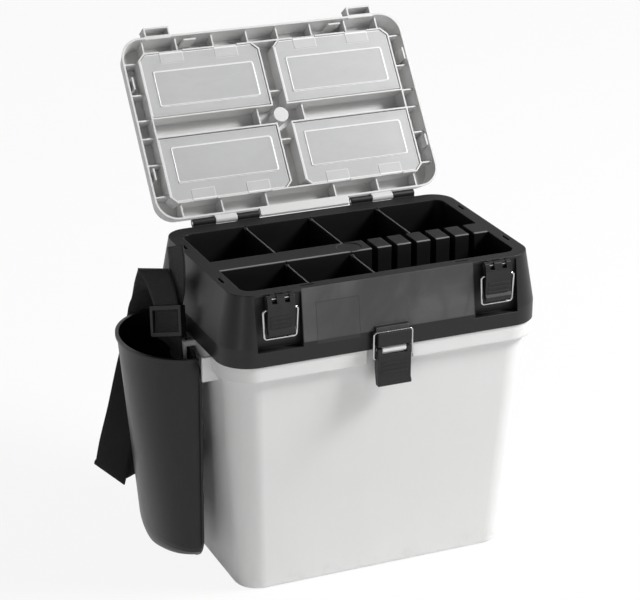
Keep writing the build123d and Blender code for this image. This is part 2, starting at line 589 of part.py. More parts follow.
# Lid
with BuildPart() as lid:
    with BuildSketch(LID.offset(LID_Z)):
        RectangleRounded(TOP_W, TOP_D, TOP_R)
    with BuildSketch(LID.offset(LID_Z + LID_H)):
        RectangleRounded(TOP_W - 2 * LID_DRAFT, TOP_D - 2 * LID_DRAFT, TOP_R - LID_DRAFT)
    loft(ruled=True)
    crown = lid.faces().sort_by(Axis(LID.origin, LID.z_dir))[-1]
    fillet(crown.edges(), LID_EDGE_R)
    add(lid_hollow.part, mode=Mode.SUBTRACT)

    # Tabs that drop into the section's slots
    with BuildSketch(LID.offset(LID_Z - TAB_DEPTH)):
        for middle, length in SIDE_TABS:
            with Locations((-SIDE_TAB_X, middle), (SIDE_TAB_X, middle)):
                Rectangle(TAB_T, length)
        with Locations((-FRONT_TAB_X, FRONT_TAB_Y), (FRONT_TAB_X, FRONT_TAB_Y)):
            Rectangle(FRONT_TAB_L, TAB_T)
    extrude(amount=LID_ROOF - LID_Z + TAB_DEPTH + LID_TOP / 2)

    # Strikes for the lid latches: hollow blocks with a lip in front of the bail
    strike_back = -TOP_D / 2 + LID_DRAFT * (STRIKE_TOP - LID_Z) / LID_H + LID_WALL / 4
    strike_front = -TOP_D / 2 - STRIKE_D
    strike_y, strike_d = span(strike_front, strike_back)
    pocket_y, pocket_d = span(strike_front + STRIKE_WALL, -TOP_D / 2 - STRIKE_WALL / 2)
    with BuildSketch(LID.offset(LID_Z)):
        with Locations((-LATCH_X, strike_y), (LATCH_X, strike_y)):
            Rectangle(STRIKE_W, strike_d)
    extrude(amount=STRIKE_TOP - LID_Z)
    with BuildSketch(LID.offset(STRIKE_TOP)):
        with Locations((-LATCH_X, strike_front + STRIKE_LIP / 2), (LATCH_X, strike_front + STRIKE_LIP / 2)):
            Rectangle(STRIKE_W, STRIKE_LIP)
    extrude(amount=STRIKE_LIP_H)
    with BuildSketch(LID.offset(LID_Z)):
        with Locations((-LATCH_X, pocket_y), (LATCH_X, pocket_y)):
            Rectangle(STRIKE_W - 2 * STRIKE_WALL, pocket_d)
    extrude(amount=STRIKE_TOP - LID_Z - STRIKE_WALL, mode=Mode.SUBTRACT)

    # Hinge knuckles between the section's, and a strip in the middle
    knuckle_low, knuckle_high = KNUCKLES[0][1] + KNUCKLE_GAP, KNUCKLES[1][0] - KNUCKLE_GAP
    for start in (-knuckle_high, knuckle_low):
        with BuildSketch(lid_across(start)):
            with BuildLine():
                Polyline(
                    (HINGE_Y, HINGE_Z - KNUCKLE_R * 0.45),
                    (HINGE_Y, HINGE_Z + KNUCKLE_R),
                    (TOP_D / 2 - LID_WALL, HINGE_Z + 2 * KNUCKLE_R),
                    (TOP_D / 2 - LID_WALL / 2, LID_Z + GAP),
                    close=True,
                )
            make_face()
            with Locations((HINGE_Y, HINGE_Z)):
                Circle(KNUCKLE_R)
                Circle(LID_PIN_R + RUN, mode=Mode.SUBTRACT)
        extrude(amount=knuckle_high - knuckle_low)
    strip_y, strip_d = span(TOP_D / 2 - LID_WALL, TOP_D / 2 + STRIP_T)
    with BuildSketch(LID.offset(LID_Z)):
        with Locations((0, strip_y)):
            Rectangle(STRIP_L, strip_d)
    extrude(amount=STRIP_H)

    # Holes for the covers' stubs, and notches for their clips in the bins' far walls
    stub_x = BIN_IN + BIN_WALL - STUB_L - GAP
    for start in (stub_x, -BIN_IN - BIN_W + BIN_WALL - STUB_L - GAP):
        with BuildSketch(lid_across(start)):
            with Locations((COVER_Y, COVER_Z), (-COVER_Y, COVER_Z)):
                Circle(STUB_R + RUN)
        extrude(amount=BIN_W - 2 * (BIN_WALL - STUB_L - GAP), mode=Mode.SUBTRACT)
    with BuildSketch(LID.offset(LID_Z)):
        notch_y = BIN_FAR - BIN_WALL / 2
        with Locations([(s * x, r * notch_y) for s in (-1, 1) for r in (-1, 1) for x in CLIP_X]):
            Rectangle(CLIP_W + 2 * COVER_PLAY, BIN_WALL + 2 * COVER_PLAY)
    extrude(amount=CLIP_RISE + CLIP_H + COVER_PLAY, mode=Mode.SUBTRACT)

lid.part.label = "lid"
export_step(lid.part, "parts/lid.step")

# Ribs between the lid's walls and its bins, and the boss in its middle
with BuildPart() as lid_ribs:
    side_x, side_l = span(bin_edge, TOP_W / 2)
    far_y, far_l = span(BIN_FAR, TOP_D / 2)
    with BuildSketch(LID.offset(LID_Z + RIB_DROP)):
        with Locations([(s * side_x, y) for s in (-1, 1) for y in SIDE_RIBS]):
            Rectangle(side_l + BIN_WALL, RIB_T)
        with Locations([(s * x, -far_y) for s in (-1, 1) for x in FRONT_RIBS]):
            Rectangle(RIB_T, far_l + BIN_WALL)
        with Locations([(s * x, far_y) for s in (-1, 1) for x in BACK_RIBS]):
            Rectangle(RIB_T, far_l + BIN_WALL)
        with Locations([(0, y) for y in CHANNEL_RIBS]):
            Rectangle(2 * BIN_IN + BIN_WALL, RIB_T)
        with Locations([(x, 0) for x in MIDDLE_RIBS]):
            Rectangle(RIB_T, 2 * BIN_MID + BIN_WALL)
        Circle(BOSS_R)
    extrude(amount=LID_H)
    add(lid_hollow.part, mode=Mode.INTERSECT)

lid_ribs.part.label = "lid_ribs"
export_step(lid_ribs.part, "parts/lid_ribs.step")

# Bin covers: plate, raised panel, two clips, and a barrel with stubs that turn in the bin's walls
for row, row_name in ((-1, "front"), (1, "rear")):
    for side, side_name in ((-1, "left"), (1, "right")):
        with BuildPart() as cover:
            with BuildSketch(LID.offset(LID_Z + COVER_SINK)):
                with BuildLine():
                    Polyline(*bin_outline(side, row, BIN_WALL + COVER_PLAY), close=True)
                make_face()
                with Locations((0, row * (COVER_Y - COVER_BACK - BIN_D / 2))):
                    Rectangle(TOP_W, BIN_D, mode=Mode.SUBTRACT)
            extrude(amount=COVER_T)
            with BuildSketch(LID.offset(LID_Z + COVER_SINK - PANEL_RISE)):
                with Locations((side * PANEL_X, row * PANEL_Y)):
                    Rectangle(PANEL_W, PANEL_D)
            extrude(amount=PANEL_RISE + COVER_T / 2)
            with BuildSketch(LID.offset(LID_Z + CLIP_RISE)):
                with Locations([(side * x, row * (BIN_FAR - GAP - CLIP_D / 2)) for x in CLIP_X]):
                    Rectangle(CLIP_W, CLIP_D)
            extrude(amount=CLIP_H)
            barrel_l = BIN_W - 2 * (BIN_WALL + COVER_PLAY)
            barrel_x = min(side * (BIN_IN + BIN_WALL + COVER_PLAY), side * (bin_edge - BIN_WALL - COVER_PLAY))
            with BuildSketch(lid_across(barrel_x)):
                with Locations((row * COVER_Y, COVER_Z)):
                    Circle(BARREL_R)
            extrude(amount=barrel_l)
            reach = COVER_PLAY + STUB_L
            with BuildSketch(lid_across(barrel_x - reach)):
                with Locations((row * COVER_Y, COVER_Z)):
                    Circle(STUB_R)
            extrude(amount=barrel_l + 2 * reach)
        cover.part.label = f"cover_{row_name}_{side_name}"
        export_step(cover.part, f"parts/cover_{row_name}_{side_name}.step")

for side, name in ((-1, "left"), (1, "right")):
    # Steel pins of the lid's hinge and of the section's hinge
    pin_low, pin_high = KNUCKLES[0][0], KNUCKLES[1][1]
    with BuildPart() as lid_pin:
        with BuildSketch(Plane.YZ.offset(min(side * pin_low, side * pin_high))):
            with Locations((HINGE_Y, HINGE_Z)):
                Circle(LID_PIN_R)
        extrude(amount=pin_high - pin_low)
    lid_pin.part.label = f"lid_pin_{name}"
    export_step(lid_pin.part, f"parts/lid_pin_{name}.step")

    tilt_half = TILT_MID_L / 2 + KNUCKLE_GAP + TILT_END_L
    with BuildPart() as section_pin:
        with BuildSketch(Plane.YZ.offset(side * TILT_X - tilt_half)):
            with Locations((TILT_Y, TILT_Z)):
                Circle(TILT_PIN_R)
        extrude(amount=2 * tilt_half)
    section_pin.part.label = f"section_pin_{name}"
    export_step(section_pin.part, f"parts/section_pin_{name}.step")

    # Lid latch: pin, lever and wire bail
    middle = side * LATCH_X
    with BuildPart() as latch_pin:
        with BuildSketch(Plane.YZ.offset(middle - LEVER_W / 2)):
            with Locations((LATCH_Y, LATCH_Z)):
                Circle(LATCH_PIN_R)
        extrude(amount=LEVER_W)
    latch_pin.part.label = f"latch_pin_{name}"
    export_step(latch_pin.part, f"parts/latch_pin_{name}.step")

    lever_end = LATCH_Z - LEVER_LEN
    with BuildPart() as lever:
        with BuildSketch(Plane.YZ.offset(middle - LEVER_W / 2)):
            with BuildLine():
                Polyline(
                    (LATCH_Y - LEVER_EYE_R, LATCH_Z),
                    (BAIL_Y - 3.0, LATCH_Z - 6),
                    (BAIL_Y - 3.0, lever_end + 7),
                    (BAIL_Y - 5.5, lever_end + 4),
                    (BAIL_Y - 5.5, lever_end),
                    (BAIL_Y - 2.0, lever_end),
                    (BAIL_Y + 1.0, lever_end + 6),
                    (BAIL_Y + 3.2, lever_end + 15),
                    (BAIL_Y + 4.4, LATCH_Z - 8),
                    (LATCH_Y + LEVER_EYE_R, LATCH_Z),
                    close=True,
                )
            make_face()
            with Locations((LATCH_Y, LATCH_Z)):
                Circle(LEVER_EYE_R)
                Circle(LATCH_PIN_R + RUN, mode=Mode.SUBTRACT)
        extrude(amount=LEVER_W)
        with BuildSketch(Plane.XZ.offset(-BAIL_Y)):
            with Locations([(middle + step, LATCH_Z) for step in (-HOOK_X, HOOK_X)]):
                Rectangle(HOOK_W + 4 * GAP, 2 * HOOK_R + 6 * GAP)
        extrude(amount=LEVER_LEN, both=True, mode=Mode.SUBTRACT)
        ridge_z = [lever_end + 9 + 5 * i for i in range(3)]
        with BuildSketch(Plane.XZ.offset(-BAIL_Y + 2.4)):
            with Locations([(middle, z) for z in ridge_z]):
                RectangleRounded(LEVER_W - 6, 2.0, 0.8)
        extrude(amount=1.4)
        with BuildSketch(Plane.YZ.offset(middle - LEVER_W / 2)):
            with Locations((BAIL_Y, BAIL_Z)):
                Circle(BAIL_WIRE / 2 + RUN)
        extrude(amount=BAIL_IN + GAP, mode=Mode.SUBTRACT)
        with BuildSketch(Plane.YZ.offset(middle + LEVER_W / 2 - BAIL_IN - GAP)):
            with Locations((BAIL_Y, BAIL_Z)):
                Circle(BAIL_WIRE / 2 + RUN)
        extrude(amount=BAIL_IN + GAP, mode=Mode.SUBTRACT)
    lever.part.label = f"latch_lever_{name}"
    export_step(lever.part, f"parts/latch_lever_{name}.step")

    bail_low = BAIL_Z - BAIL_LEN
    with BuildPart() as bail:
        with BuildLine() as wire:
            FilletPolyline(
                (middle - LEVER_W / 2 + BAIL_IN, BAIL_Y, BAIL_Z),
                (middle - BAIL_W / 2, BAIL_Y, BAIL_Z),
                (middle - BAIL_BAR_W / 2, BAIL_Y, bail_low),
                (middle + BAIL_BAR_W / 2, BAIL_Y, bail_low),
                (middle + BAIL_W / 2, BAIL_Y, BAIL_Z),
                (middle + LEVER_W / 2 - BAIL_IN, BAIL_Y, BAIL_Z),
                radius=BAIL_BEND,
            )
        with BuildSketch(Plane(origin=wire.line @ 0, z_dir=wire.line % 0)):
            Circle(BAIL_WIRE / 2)
        sweep()
    bail.part.label = f"latch_bail_{name}"
    export_step(bail.part, f"parts/latch_bail_{name}.step")

# Middle latch: pin, lever and bail
with BuildPart() as centre_pin:
    with BuildSketch(Plane.YZ.offset(-CENTRE_W / 2)):
        with Locations((CENTRE_Y, CENTRE_Z)):
            Circle(CENTRE_PIN_R)
    extrude(amount=CENTRE_W)
centre_pin.part.label = "centre_pin"
export_step(centre_pin.part, "parts/centre_pin.step")

with BuildPart() as centre_lever:
    lever_face = CENTRE_Y - CENTRE_EYE_R - 0.8
    lever_low = CENTRE_Z - CENTRE_LEN
    with BuildSketch(Plane.YZ.offset(-CENTRE_W / 2)):
        with BuildLine():
            Polyline(
                (CENTRE_Y - CENTRE_EYE_R, CENTRE_Z),
                (lever_face, CENTRE_Z - 5),
                (lever_face, lever_low + 6),
                (lever_face - 2, lever_low + 3),
                (lever_face - 2, lever_low),
                (lever_face + 5, lever_low),
                (CENTRE_Y + CENTRE_EYE_R, CENTRE_Z - 22),
                (CENTRE_Y + CENTRE_EYE_R, CENTRE_Z),
                close=True,
            )
        make_face()
        with Locations((CENTRE_Y, CENTRE_Z)):
            Circle(CENTRE_EYE_R)
            Circle(CENTRE_PIN_R + RUN, mode=Mode.SUBTRACT)
    extrude(amount=CENTRE_W)
    knob_room = CENTRE_EYE_R + GAP + 0.2
    with BuildSketch(Plane.XZ.offset(-CENTRE_Y)):
        with Locations((0, CENTRE_Z)):
            Rectangle(KNOB_W + 4 * GAP, 2 * knob_room)
    extrude(amount=CENTRE_LEN, both=True, mode=Mode.SUBTRACT)
    with BuildSketch(Plane.XZ.offset(-lever_face - CENTRE_T)):
        with Locations((0, span(lever_low + CENTRE_T, CENTRE_Z)[0])):
            Rectangle(KNOB_W + 4 * GAP, CENTRE_LEN - CENTRE_T)
    extrude(amount=-CENTRE_LEN, mode=Mode.SUBTRACT)
    with BuildSketch(Plane.XZ.offset(-lever_face - 0.4)):
        with Locations([(0, CENTRE_Z - 15 - 5 * i) for i in range(3)]):
            RectangleRounded(CENTRE_W - 8, 1.8, 0.7)
    extrude(amount=1.2)
    with BuildSketch(Plane.YZ.offset(-CENTRE_W / 2)):
        with Locations((CENTRE_Y, CENTRE_BAIL_Z)):
            Circle(BAIL_WIRE / 2 + RUN)
    extrude(amount=CENTRE_W, mode=Mode.SUBTRACT)
centre_lever.part.label = "centre_lever"
export_step(centre_lever.part, "parts/centre_lever.step")

with BuildPart() as centre_bail:
    with BuildLine() as centre_wire:
        FilletPolyline(
            (-CENTRE_W / 2 + BAIL_IN, CENTRE_Y, CENTRE_BAIL_Z),
            (-CENTRE_BAIL_W / 2, CENTRE_Y, CENTRE_BAIL_Z),
            (-CENTRE_BAIL_W / 2, CENTRE_Y, CENTRE_BAR_Z),
            (CENTRE_BAIL_W / 2, CENTRE_Y, CENTRE_BAR_Z),
            (CENTRE_BAIL_W / 2, CENTRE_Y, CENTRE_BAIL_Z),
            (CENTRE_W / 2 - BAIL_IN, CENTRE_Y, CENTRE_BAIL_Z),
            radius=2.4,
        )
    with BuildSketch(Plane(origin=centre_wire.line @ 0, z_dir=centre_wire.line % 0)):
        Circle(BAIL_WIRE / 2)
    sweep()
centre_bail.part.label = "centre_bail"
export_step(centre_bail.part, "parts/centre_bail.step")

# Rod holster: a flat back plate with a D-shaped pocket, hung behind the left lug's bar
plate_top = PAIL_H - LUG_ARM_H - LOWER
mouth_z = plate_top - MOUTH_DROP
pocket_x = -PLATE_X


def pocket_half(z, inset):
    """Half length and depth of the pocket at a height, drawn in by inset and by its rounded foot."""
    share = (mouth_z - z) / (mouth_z - HOLSTER_Z)
    low = 1 - min((z - HOLSTER_Z - inset) / TOE_H, 1)
    drawn = 1 - sqrt(1 - low**2)
    return HOLSTER_A - TOE_A * drawn - inset, HOLSTER_B - HOLSTER_TAPER * share - TOE_B * drawn - inset


with BuildPart() as pocket_space:
    for level in [HOLSTER_Z + HOLSTER_WALL + TOE_H * step for step in TOE_STEPS] + [mouth_z]:
        with BuildSketch(Plane.XY.offset(level)):
            half, deep = pocket_half(level, HOLSTER_WALL)
            with BuildLine():
                EllipticalCenterArc((pocket_x, HOLSTER_Y), deep, half, start_angle=90, arc_size=180)
                Line((pocket_x, HOLSTER_Y - half), (pocket_x, HOLSTER_Y + half))
            make_face()
    loft(ruled=True)

with BuildPart() as holster:
    for level in [HOLSTER_Z + TOE_H * step for step in TOE_STEPS] + [mouth_z]:
        with BuildSketch(Plane.XY.offset(level)):
            half, deep = pocket_half(level, 0)
            with BuildLine():
                EllipticalCenterArc((pocket_x, HOLSTER_Y), deep, half, start_angle=90, arc_size=180)
                Line((pocket_x, HOLSTER_Y - half), (pocket_x, HOLSTER_Y + half))
            make_face()
    loft(ruled=True)
    with BuildSketch(Plane.XY.offset(mouth_z - BEAD_H)):
        with BuildLine():
            EllipticalCenterArc(
                (pocket_x, HOLSTER_Y), HOLSTER_B + BEAD_T, HOLSTER_A + BEAD_T, start_angle=90, arc_size=180
            )
            Line((pocket_x, HOLSTER_Y - HOLSTER_A - BEAD_T), (pocket_x, HOLSTER_Y + HOLSTER_A + BEAD_T))
        make_face()
    extrude(amount=BEAD_H)
    add(pocket_space.part, mode=Mode.SUBTRACT)
    plate_z, plate_h = span(HOLSTER_Z, plate_top)
    with BuildSketch(Plane.YZ.offset(pocket_x)):
        with Locations((HOLSTER_Y, plate_z)):
            plate = Rectangle(2 * (HOLSTER_A + PLATE_EDGE), plate_h)
        corners = plate.vertices().sort_by(Axis.Z)
        fillet(corners[:2], PLATE_FOOT_R)
        fillet(corners[2:], PLATE_R)
    extrude(amount=PLATE_T)
holster.part.label = "holster"
export_step(holster.part, "parts/holster.step")

# Strap. Its left loop goes under the lug's bar and leans back as it rises.
LEAN_WIDE = (0, cos(radians(STRAP_LEAN)), -sin(radians(STRAP_LEAN)))
LOOP_PLANE = Plane(origin=(0, LOOP_Y, LOOP_Z), x_dir=(-1, 0, 0), z_dir=LEAN_WIDE)
turn_r = (LAYER_OUT - LAYER_IN - STRAP_T) / 2
turn_x = LAYER_IN + STRAP_T + turn_r
slant = STRAP_W / 2 * sin(radians(STRAP_LEAN))
turn_z = (PAIL_H - LUG_H - GAP - slant - LOOP_Z) / cos(radians(STRAP_LEAN))

with BuildPart() as loop_left:
    with BuildSketch(LOOP_PLANE.offset(-STRAP_W / 2)):
        with BuildLine():
            Line((LAYER_IN, LOOP_IN_TOP), (LAYER_IN, turn_z))
            CenterArc((turn_x, turn_z), turn_r + STRAP_T, 180, 180)
            Line((LAYER_OUT + STRAP_T, turn_z), (LAYER_OUT + STRAP_T, LOOP_OUT_TOP))
            Line((LAYER_OUT + STRAP_T, LOOP_OUT_TOP), (LAYER_OUT, LOOP_OUT_TOP))
            Line((LAYER_OUT, LOOP_OUT_TOP), (LAYER_OUT, turn_z))
            CenterArc((turn_x, turn_z), turn_r, 180, 180)
            Line((LAYER_IN + STRAP_T, turn_z), (LAYER_IN + STRAP_T, LOOP_IN_TOP))
            Line((LAYER_IN + STRAP_T, LOOP_IN_TOP), (LAYER_IN, LOOP_IN_TOP))
        make_face()
    extrude(amount=STRAP_W)
loop_left.part.label = "strap_loop_left"
export_step(loop_left.part, "parts/strap_loop_left.step")


def beside(out, back, up):
    """A place beside the left lug: out from its bar, back from its slot's middle, up from the rim."""
    return (-LUG_X - out, LUG_Y + back, PAIL_H + up)


# Adjuster, turned with the strap: end bars outside the outer layer, middle bar between the two layers
GLIDE_PLANE = Plane(origin=beside(*GLIDE_AT), x_dir=GLIDE_FACE, z_dir=GLIDE_WIDE)
with BuildPart() as glide:
    bar_out = -STRAP_T / 2 - GAP
    bar_in = bar_out - GLIDE_DEEP
    end_x = STRAP_T / 2 + GAP + GLIDE_T / 2
    rail_x, rail_d = span(bar_in, end_x + GLIDE_T / 2)
    opening = STRAP_W + 2 * GLIDE_PLAY
    for rail_low in (-opening / 2 - GLIDE_RAIL, opening / 2):
        with BuildSketch(GLIDE_PLANE.offset(rail_low)):
            with Locations((rail_x, 0)):
                RectangleRounded(rail_d, GLIDE_H, 1.2)
        extrude(amount=GLIDE_RAIL)
    with BuildSketch(GLIDE_PLANE.offset(-opening / 2 - GLIDE_RAIL / 2)):
        with Locations((end_x, GLIDE_BAR / 2 - GLIDE_H / 2), (end_x, GLIDE_H / 2 - GLIDE_BAR / 2)):
            RectangleRounded(GLIDE_T, GLIDE_BAR, 0.6)
        with Locations((span(bar_in, bar_out)[0], 0)):
            RectangleRounded(GLIDE_DEEP, GLIDE_BAR, 0.6)
    extrude(amount=opening + GLIDE_RAIL)
glide.part.label = "tri_glide"
export_step(glide.part, "parts/tri_glide.step")

# The right end is looped over its bar and hangs down.
with BuildPart() as loop_right:
    hang_y = LUG_Y - STRAP_W / 2
    with BuildSketch(Plane(origin=(0, hang_y, PAIL_H), x_dir=(1, 0, 0), z_dir=(0, -1, 0))):
        with BuildLine():
            Line((LAYER_IN, -RIGHT_LOOP_H), (LAYER_IN, 0))
            CenterArc((turn_x, 0), turn_r + STRAP_T, 180, -180)
            Line((LAYER_OUT + STRAP_T, 0), (LAYER_OUT + STRAP_T, -RIGHT_LOOP_H))
            Line((LAYER_OUT + STRAP_T, -RIGHT_LOOP_H), (LAYER_OUT, -RIGHT_LOOP_H))
            Line((LAYER_OUT, -RIGHT_LOOP_H), (LAYER_OUT, 0))
            CenterArc((turn_x, 0), turn_r, 180, -180)
            Line((LAYER_IN + STRAP_T, 0), (LAYER_IN + STRAP_T, -RIGHT_LOOP_H))
            Line((LAYER_IN + STRAP_T, -RIGHT_LOOP_H), (LAYER_IN, -RIGHT_LOOP_H))
        make_face()
    extrude(amount=-STRAP_W)
loop_right.part.label = "strap_loop_right"
export_step(loop_right.part, "parts/strap_loop_right.step")

# Free runs of the strap: points of its middle line, direction of its width, and half its width there
layer_in, layer_out = LAYER_IN + STRAP_T / 2, LAYER_OUT + STRAP_T / 2
tail_low = tuple(LOOP_PLANE.from_local_coords((layer_in, LOOP_IN_TOP + STRAP_T / 2 + GAP, 0)))
rise_low = tuple(LOOP_PLANE.from_local_coords((layer_out, LOOP_OUT_TOP + GAP, 0)))
inner = bar_in - GAP - STRAP_T / 2
tail_mid = tuple(GLIDE_PLANE.from_local_coords((inner, 0, 0)))
tail_high = tuple(GLIDE_PLANE.from_local_coords((inner, GLIDE_H / 2, 0)))
glide_low = tuple(GLIDE_PLANE.from_local_coords((0, 3 - GLIDE_H / 2, 0)))
glide_high = tuple(GLIDE_PLANE.from_local_coords((0, GLIDE_H / 2 - 2, 0)))
HALF = STRAP_W / 2
TAIL = (
    (tail_low, LEAN_WIDE, HALF),
    (tail_mid, GLIDE_WIDE, HALF),
    (tail_high, GLIDE_WIDE, HALF),
    (beside(-4.7, 14.1, 43.0), (-0.25, 0.93, -0.27), HALF),
    (beside(-7.4, 13.1, 63.0), (-0.15, 0.93, -0.33), HALF),
    (beside(-8.2, 14.9, 79.0), (-0.13, 0.93, -0.35), HALF),
    (beside(-8.5, 21.0, 94.0), (-0.13, 0.91, -0.39), HALF),
)
RISE = (
    (rise_low, LEAN_WIDE, HALF),
    (beside(5.3, -2.2, -7.4), (-0.2, 0.94, -0.26), HALF),
    (glide_low, GLIDE_WIDE, HALF),
    (glide_high, GLIDE_WIDE, HALF),
    (beside(7.3, 24.5, 47.0), (-0.52, 0.81, -0.25), HALF),
    (beside(9.3, 36.5, 59.0), (-0.6, 0.77, -0.2), HALF + 0.5),
    (beside(9.6, 42.0, 61.4), (-0.63, 0.76, -0.16), HALF + 0.5),
)
FALL = (
    (beside(9.5, 42.8, 61.2), (-0.63, 0.76, -0.16), HALF + 0.5),
    (beside(8.0, 47.8, 58.3), (-0.656, 0.739, -0.163), HALF + 0.5),
    (beside(3.9, 70.5, 36.0), (-0.743, 0.651, -0.158), HALF),
    (beside(0.7, 95.5, 16.8), (-0.656, 0.577, -0.486), HALF),
    (beside(2.0, 101.8, 4.7), (-0.74, 0.447, -0.507), HALF),
    (beside(2.9, 105.2, -4.5), (-0.837, 0.262, -0.479), HALF - 1),
    (beside(1.4, 107.2, -18.7), (-0.989, 0.119, -0.097), HALF - 0.5),
    (beside(6.0, 110.5, -51.0), (-0.93, 0.1, 0.25), HALF),
    (beside(14.5, 113.5, -89.0), (-0.92, 0.1, 0.3), HALF),
    (beside(25.0, 115.5, -136.0), (-0.9, 0.12, 0.36), HALF),
    (beside(35.0, 117.5, -179.0), (-0.84, 0.18, 0.48), HALF + 1),
    (beside(41.5, 117.8, -211.5), (-0.728, 0.226, 0.647), HALF + 3),
)
back_y = RIM_D / 2
low_z = PAIL_H - 205.0
BACK_RUN = (
    ((-LUG_X - 38, back_y + 9.5, low_z - 1), (-0.5, 0.0, 0.85), HALF),
    ((-LUG_X - 22, back_y + 12, low_z + 3), (-0.2, 0.0, 0.98), HALF),
    ((-LUG_X + 4, back_y + 15, low_z), (0.0, 0.0, 1.0), HALF),
    ((-LUG_X + 50, back_y + 18, low_z - 8), (0.0, 0.0, 1.0), HALF),
    ((LUG_X - 50, back_y + 18, low_z - 8), (0.0, 0.0, 1.0), HALF),
    ((LUG_X - 10, back_y + 14, low_z), (-0.1, -0.05, 0.99), HALF),
    ((LUG_X + 6, back_y - 6, low_z + 18), (-0.1, -0.35, 0.93), HALF),
    ((LUG_X + 11, LUG_Y + 76.5, low_z + 50), (0.0, -0.7, 0.71), HALF),
    ((LUG_X + 8, LUG_Y + 36.5, low_z + 98), (0.0, -0.9, 0.42), HALF),
    ((LUG_X + 3.5, LUG_Y + 10.5, low_z + 138), (0.0, -0.97, 0.24), HALF),
    ((layer_out, LUG_Y, PAIL_H - RIGHT_LOOP_H - GAP), (0.0, -1.0, 0.0), HALF),
)
RUNS = (("strap_tail", TAIL), ("strap_rise", RISE), ("strap_fall", FALL), ("strap_back_run", BACK_RUN))
for label, run in RUNS:
    points = [Vector(*point) for point, wide, half in run]
    with BuildPart() as strap:
        for i, (point, wide, half) in enumerate(run):
            across = Vector(*wide).normalized()
            ahead = points[min(i + 1, len(run) - 1)] - points[max(i - 1, 0)]
            with BuildSketch(Plane(origin=point, x_dir=across, z_dir=ahead - across * across.dot(ahead))):
                Rectangle(2 * half, STRAP_T)
        loft(ruled=True)
    strap.part.label = label
    export_step(strap.part, f"parts/{label}.step")
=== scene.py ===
from math import cos, pi, radians, sin

import bmesh
import bpy
from mathutils import Matrix, Vector


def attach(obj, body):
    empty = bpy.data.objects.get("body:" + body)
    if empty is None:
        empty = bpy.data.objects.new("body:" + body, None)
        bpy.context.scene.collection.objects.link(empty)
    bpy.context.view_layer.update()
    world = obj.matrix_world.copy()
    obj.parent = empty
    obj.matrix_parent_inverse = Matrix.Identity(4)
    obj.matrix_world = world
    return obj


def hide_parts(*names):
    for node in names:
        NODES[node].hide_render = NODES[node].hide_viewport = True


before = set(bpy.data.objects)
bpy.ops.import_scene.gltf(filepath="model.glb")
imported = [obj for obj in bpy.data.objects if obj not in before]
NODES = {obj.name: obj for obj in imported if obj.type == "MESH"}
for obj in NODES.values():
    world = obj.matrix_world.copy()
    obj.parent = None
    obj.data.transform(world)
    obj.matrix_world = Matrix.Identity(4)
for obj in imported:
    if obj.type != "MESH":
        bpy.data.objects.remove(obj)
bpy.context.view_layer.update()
MM = 0.001
STRAP_W, STRAP_T = 38.0, 1.5  # mm


# Shader arithmetic

class Tone:
    """One output of a finish, with arithmetic that adds Math nodes."""

    def __init__(self, finish, socket):
        self.finish, self.socket = finish, socket

    def _math(self, operation, a, b):
        return self.finish.add("Math", {"operation": operation}, {0: a, 1: b})

    def __add__(self, other):
        return self._math("ADD", self, other)

    def __radd__(self, other):
        return self._math("ADD", other, self)

    def __sub__(self, other):
        return self._math("SUBTRACT", self, other)

    def __rsub__(self, other):
        return self._math("SUBTRACT", other, self)

    def __mul__(self, other):
        return self._math("MULTIPLY", self, other)

    def __rmul__(self, other):
        return self._math("MULTIPLY", other, self)

    def __pow__(self, other):
        return self._math("POWER", self, other)

    def __neg__(self):
        return self._math("SUBTRACT", 0.0, self)

    def __abs__(self):
        return self._math("ABSOLUTE", self, 0.0)

    def smallest(self, other):
        return self._math("MINIMUM", self, other)

    def largest(self, other):
        return self._math("MAXIMUM", self, other)

    def sine(self):
        return self._math("SINE", self, 0.0)

    def rise(self, low, high):
        """0 below low, 1 above high, with a smooth step between."""
        return self.finish.add("MapRange", {"interpolation_type": "SMOOTHSTEP"}, {0: self, 1: low, 2: high})


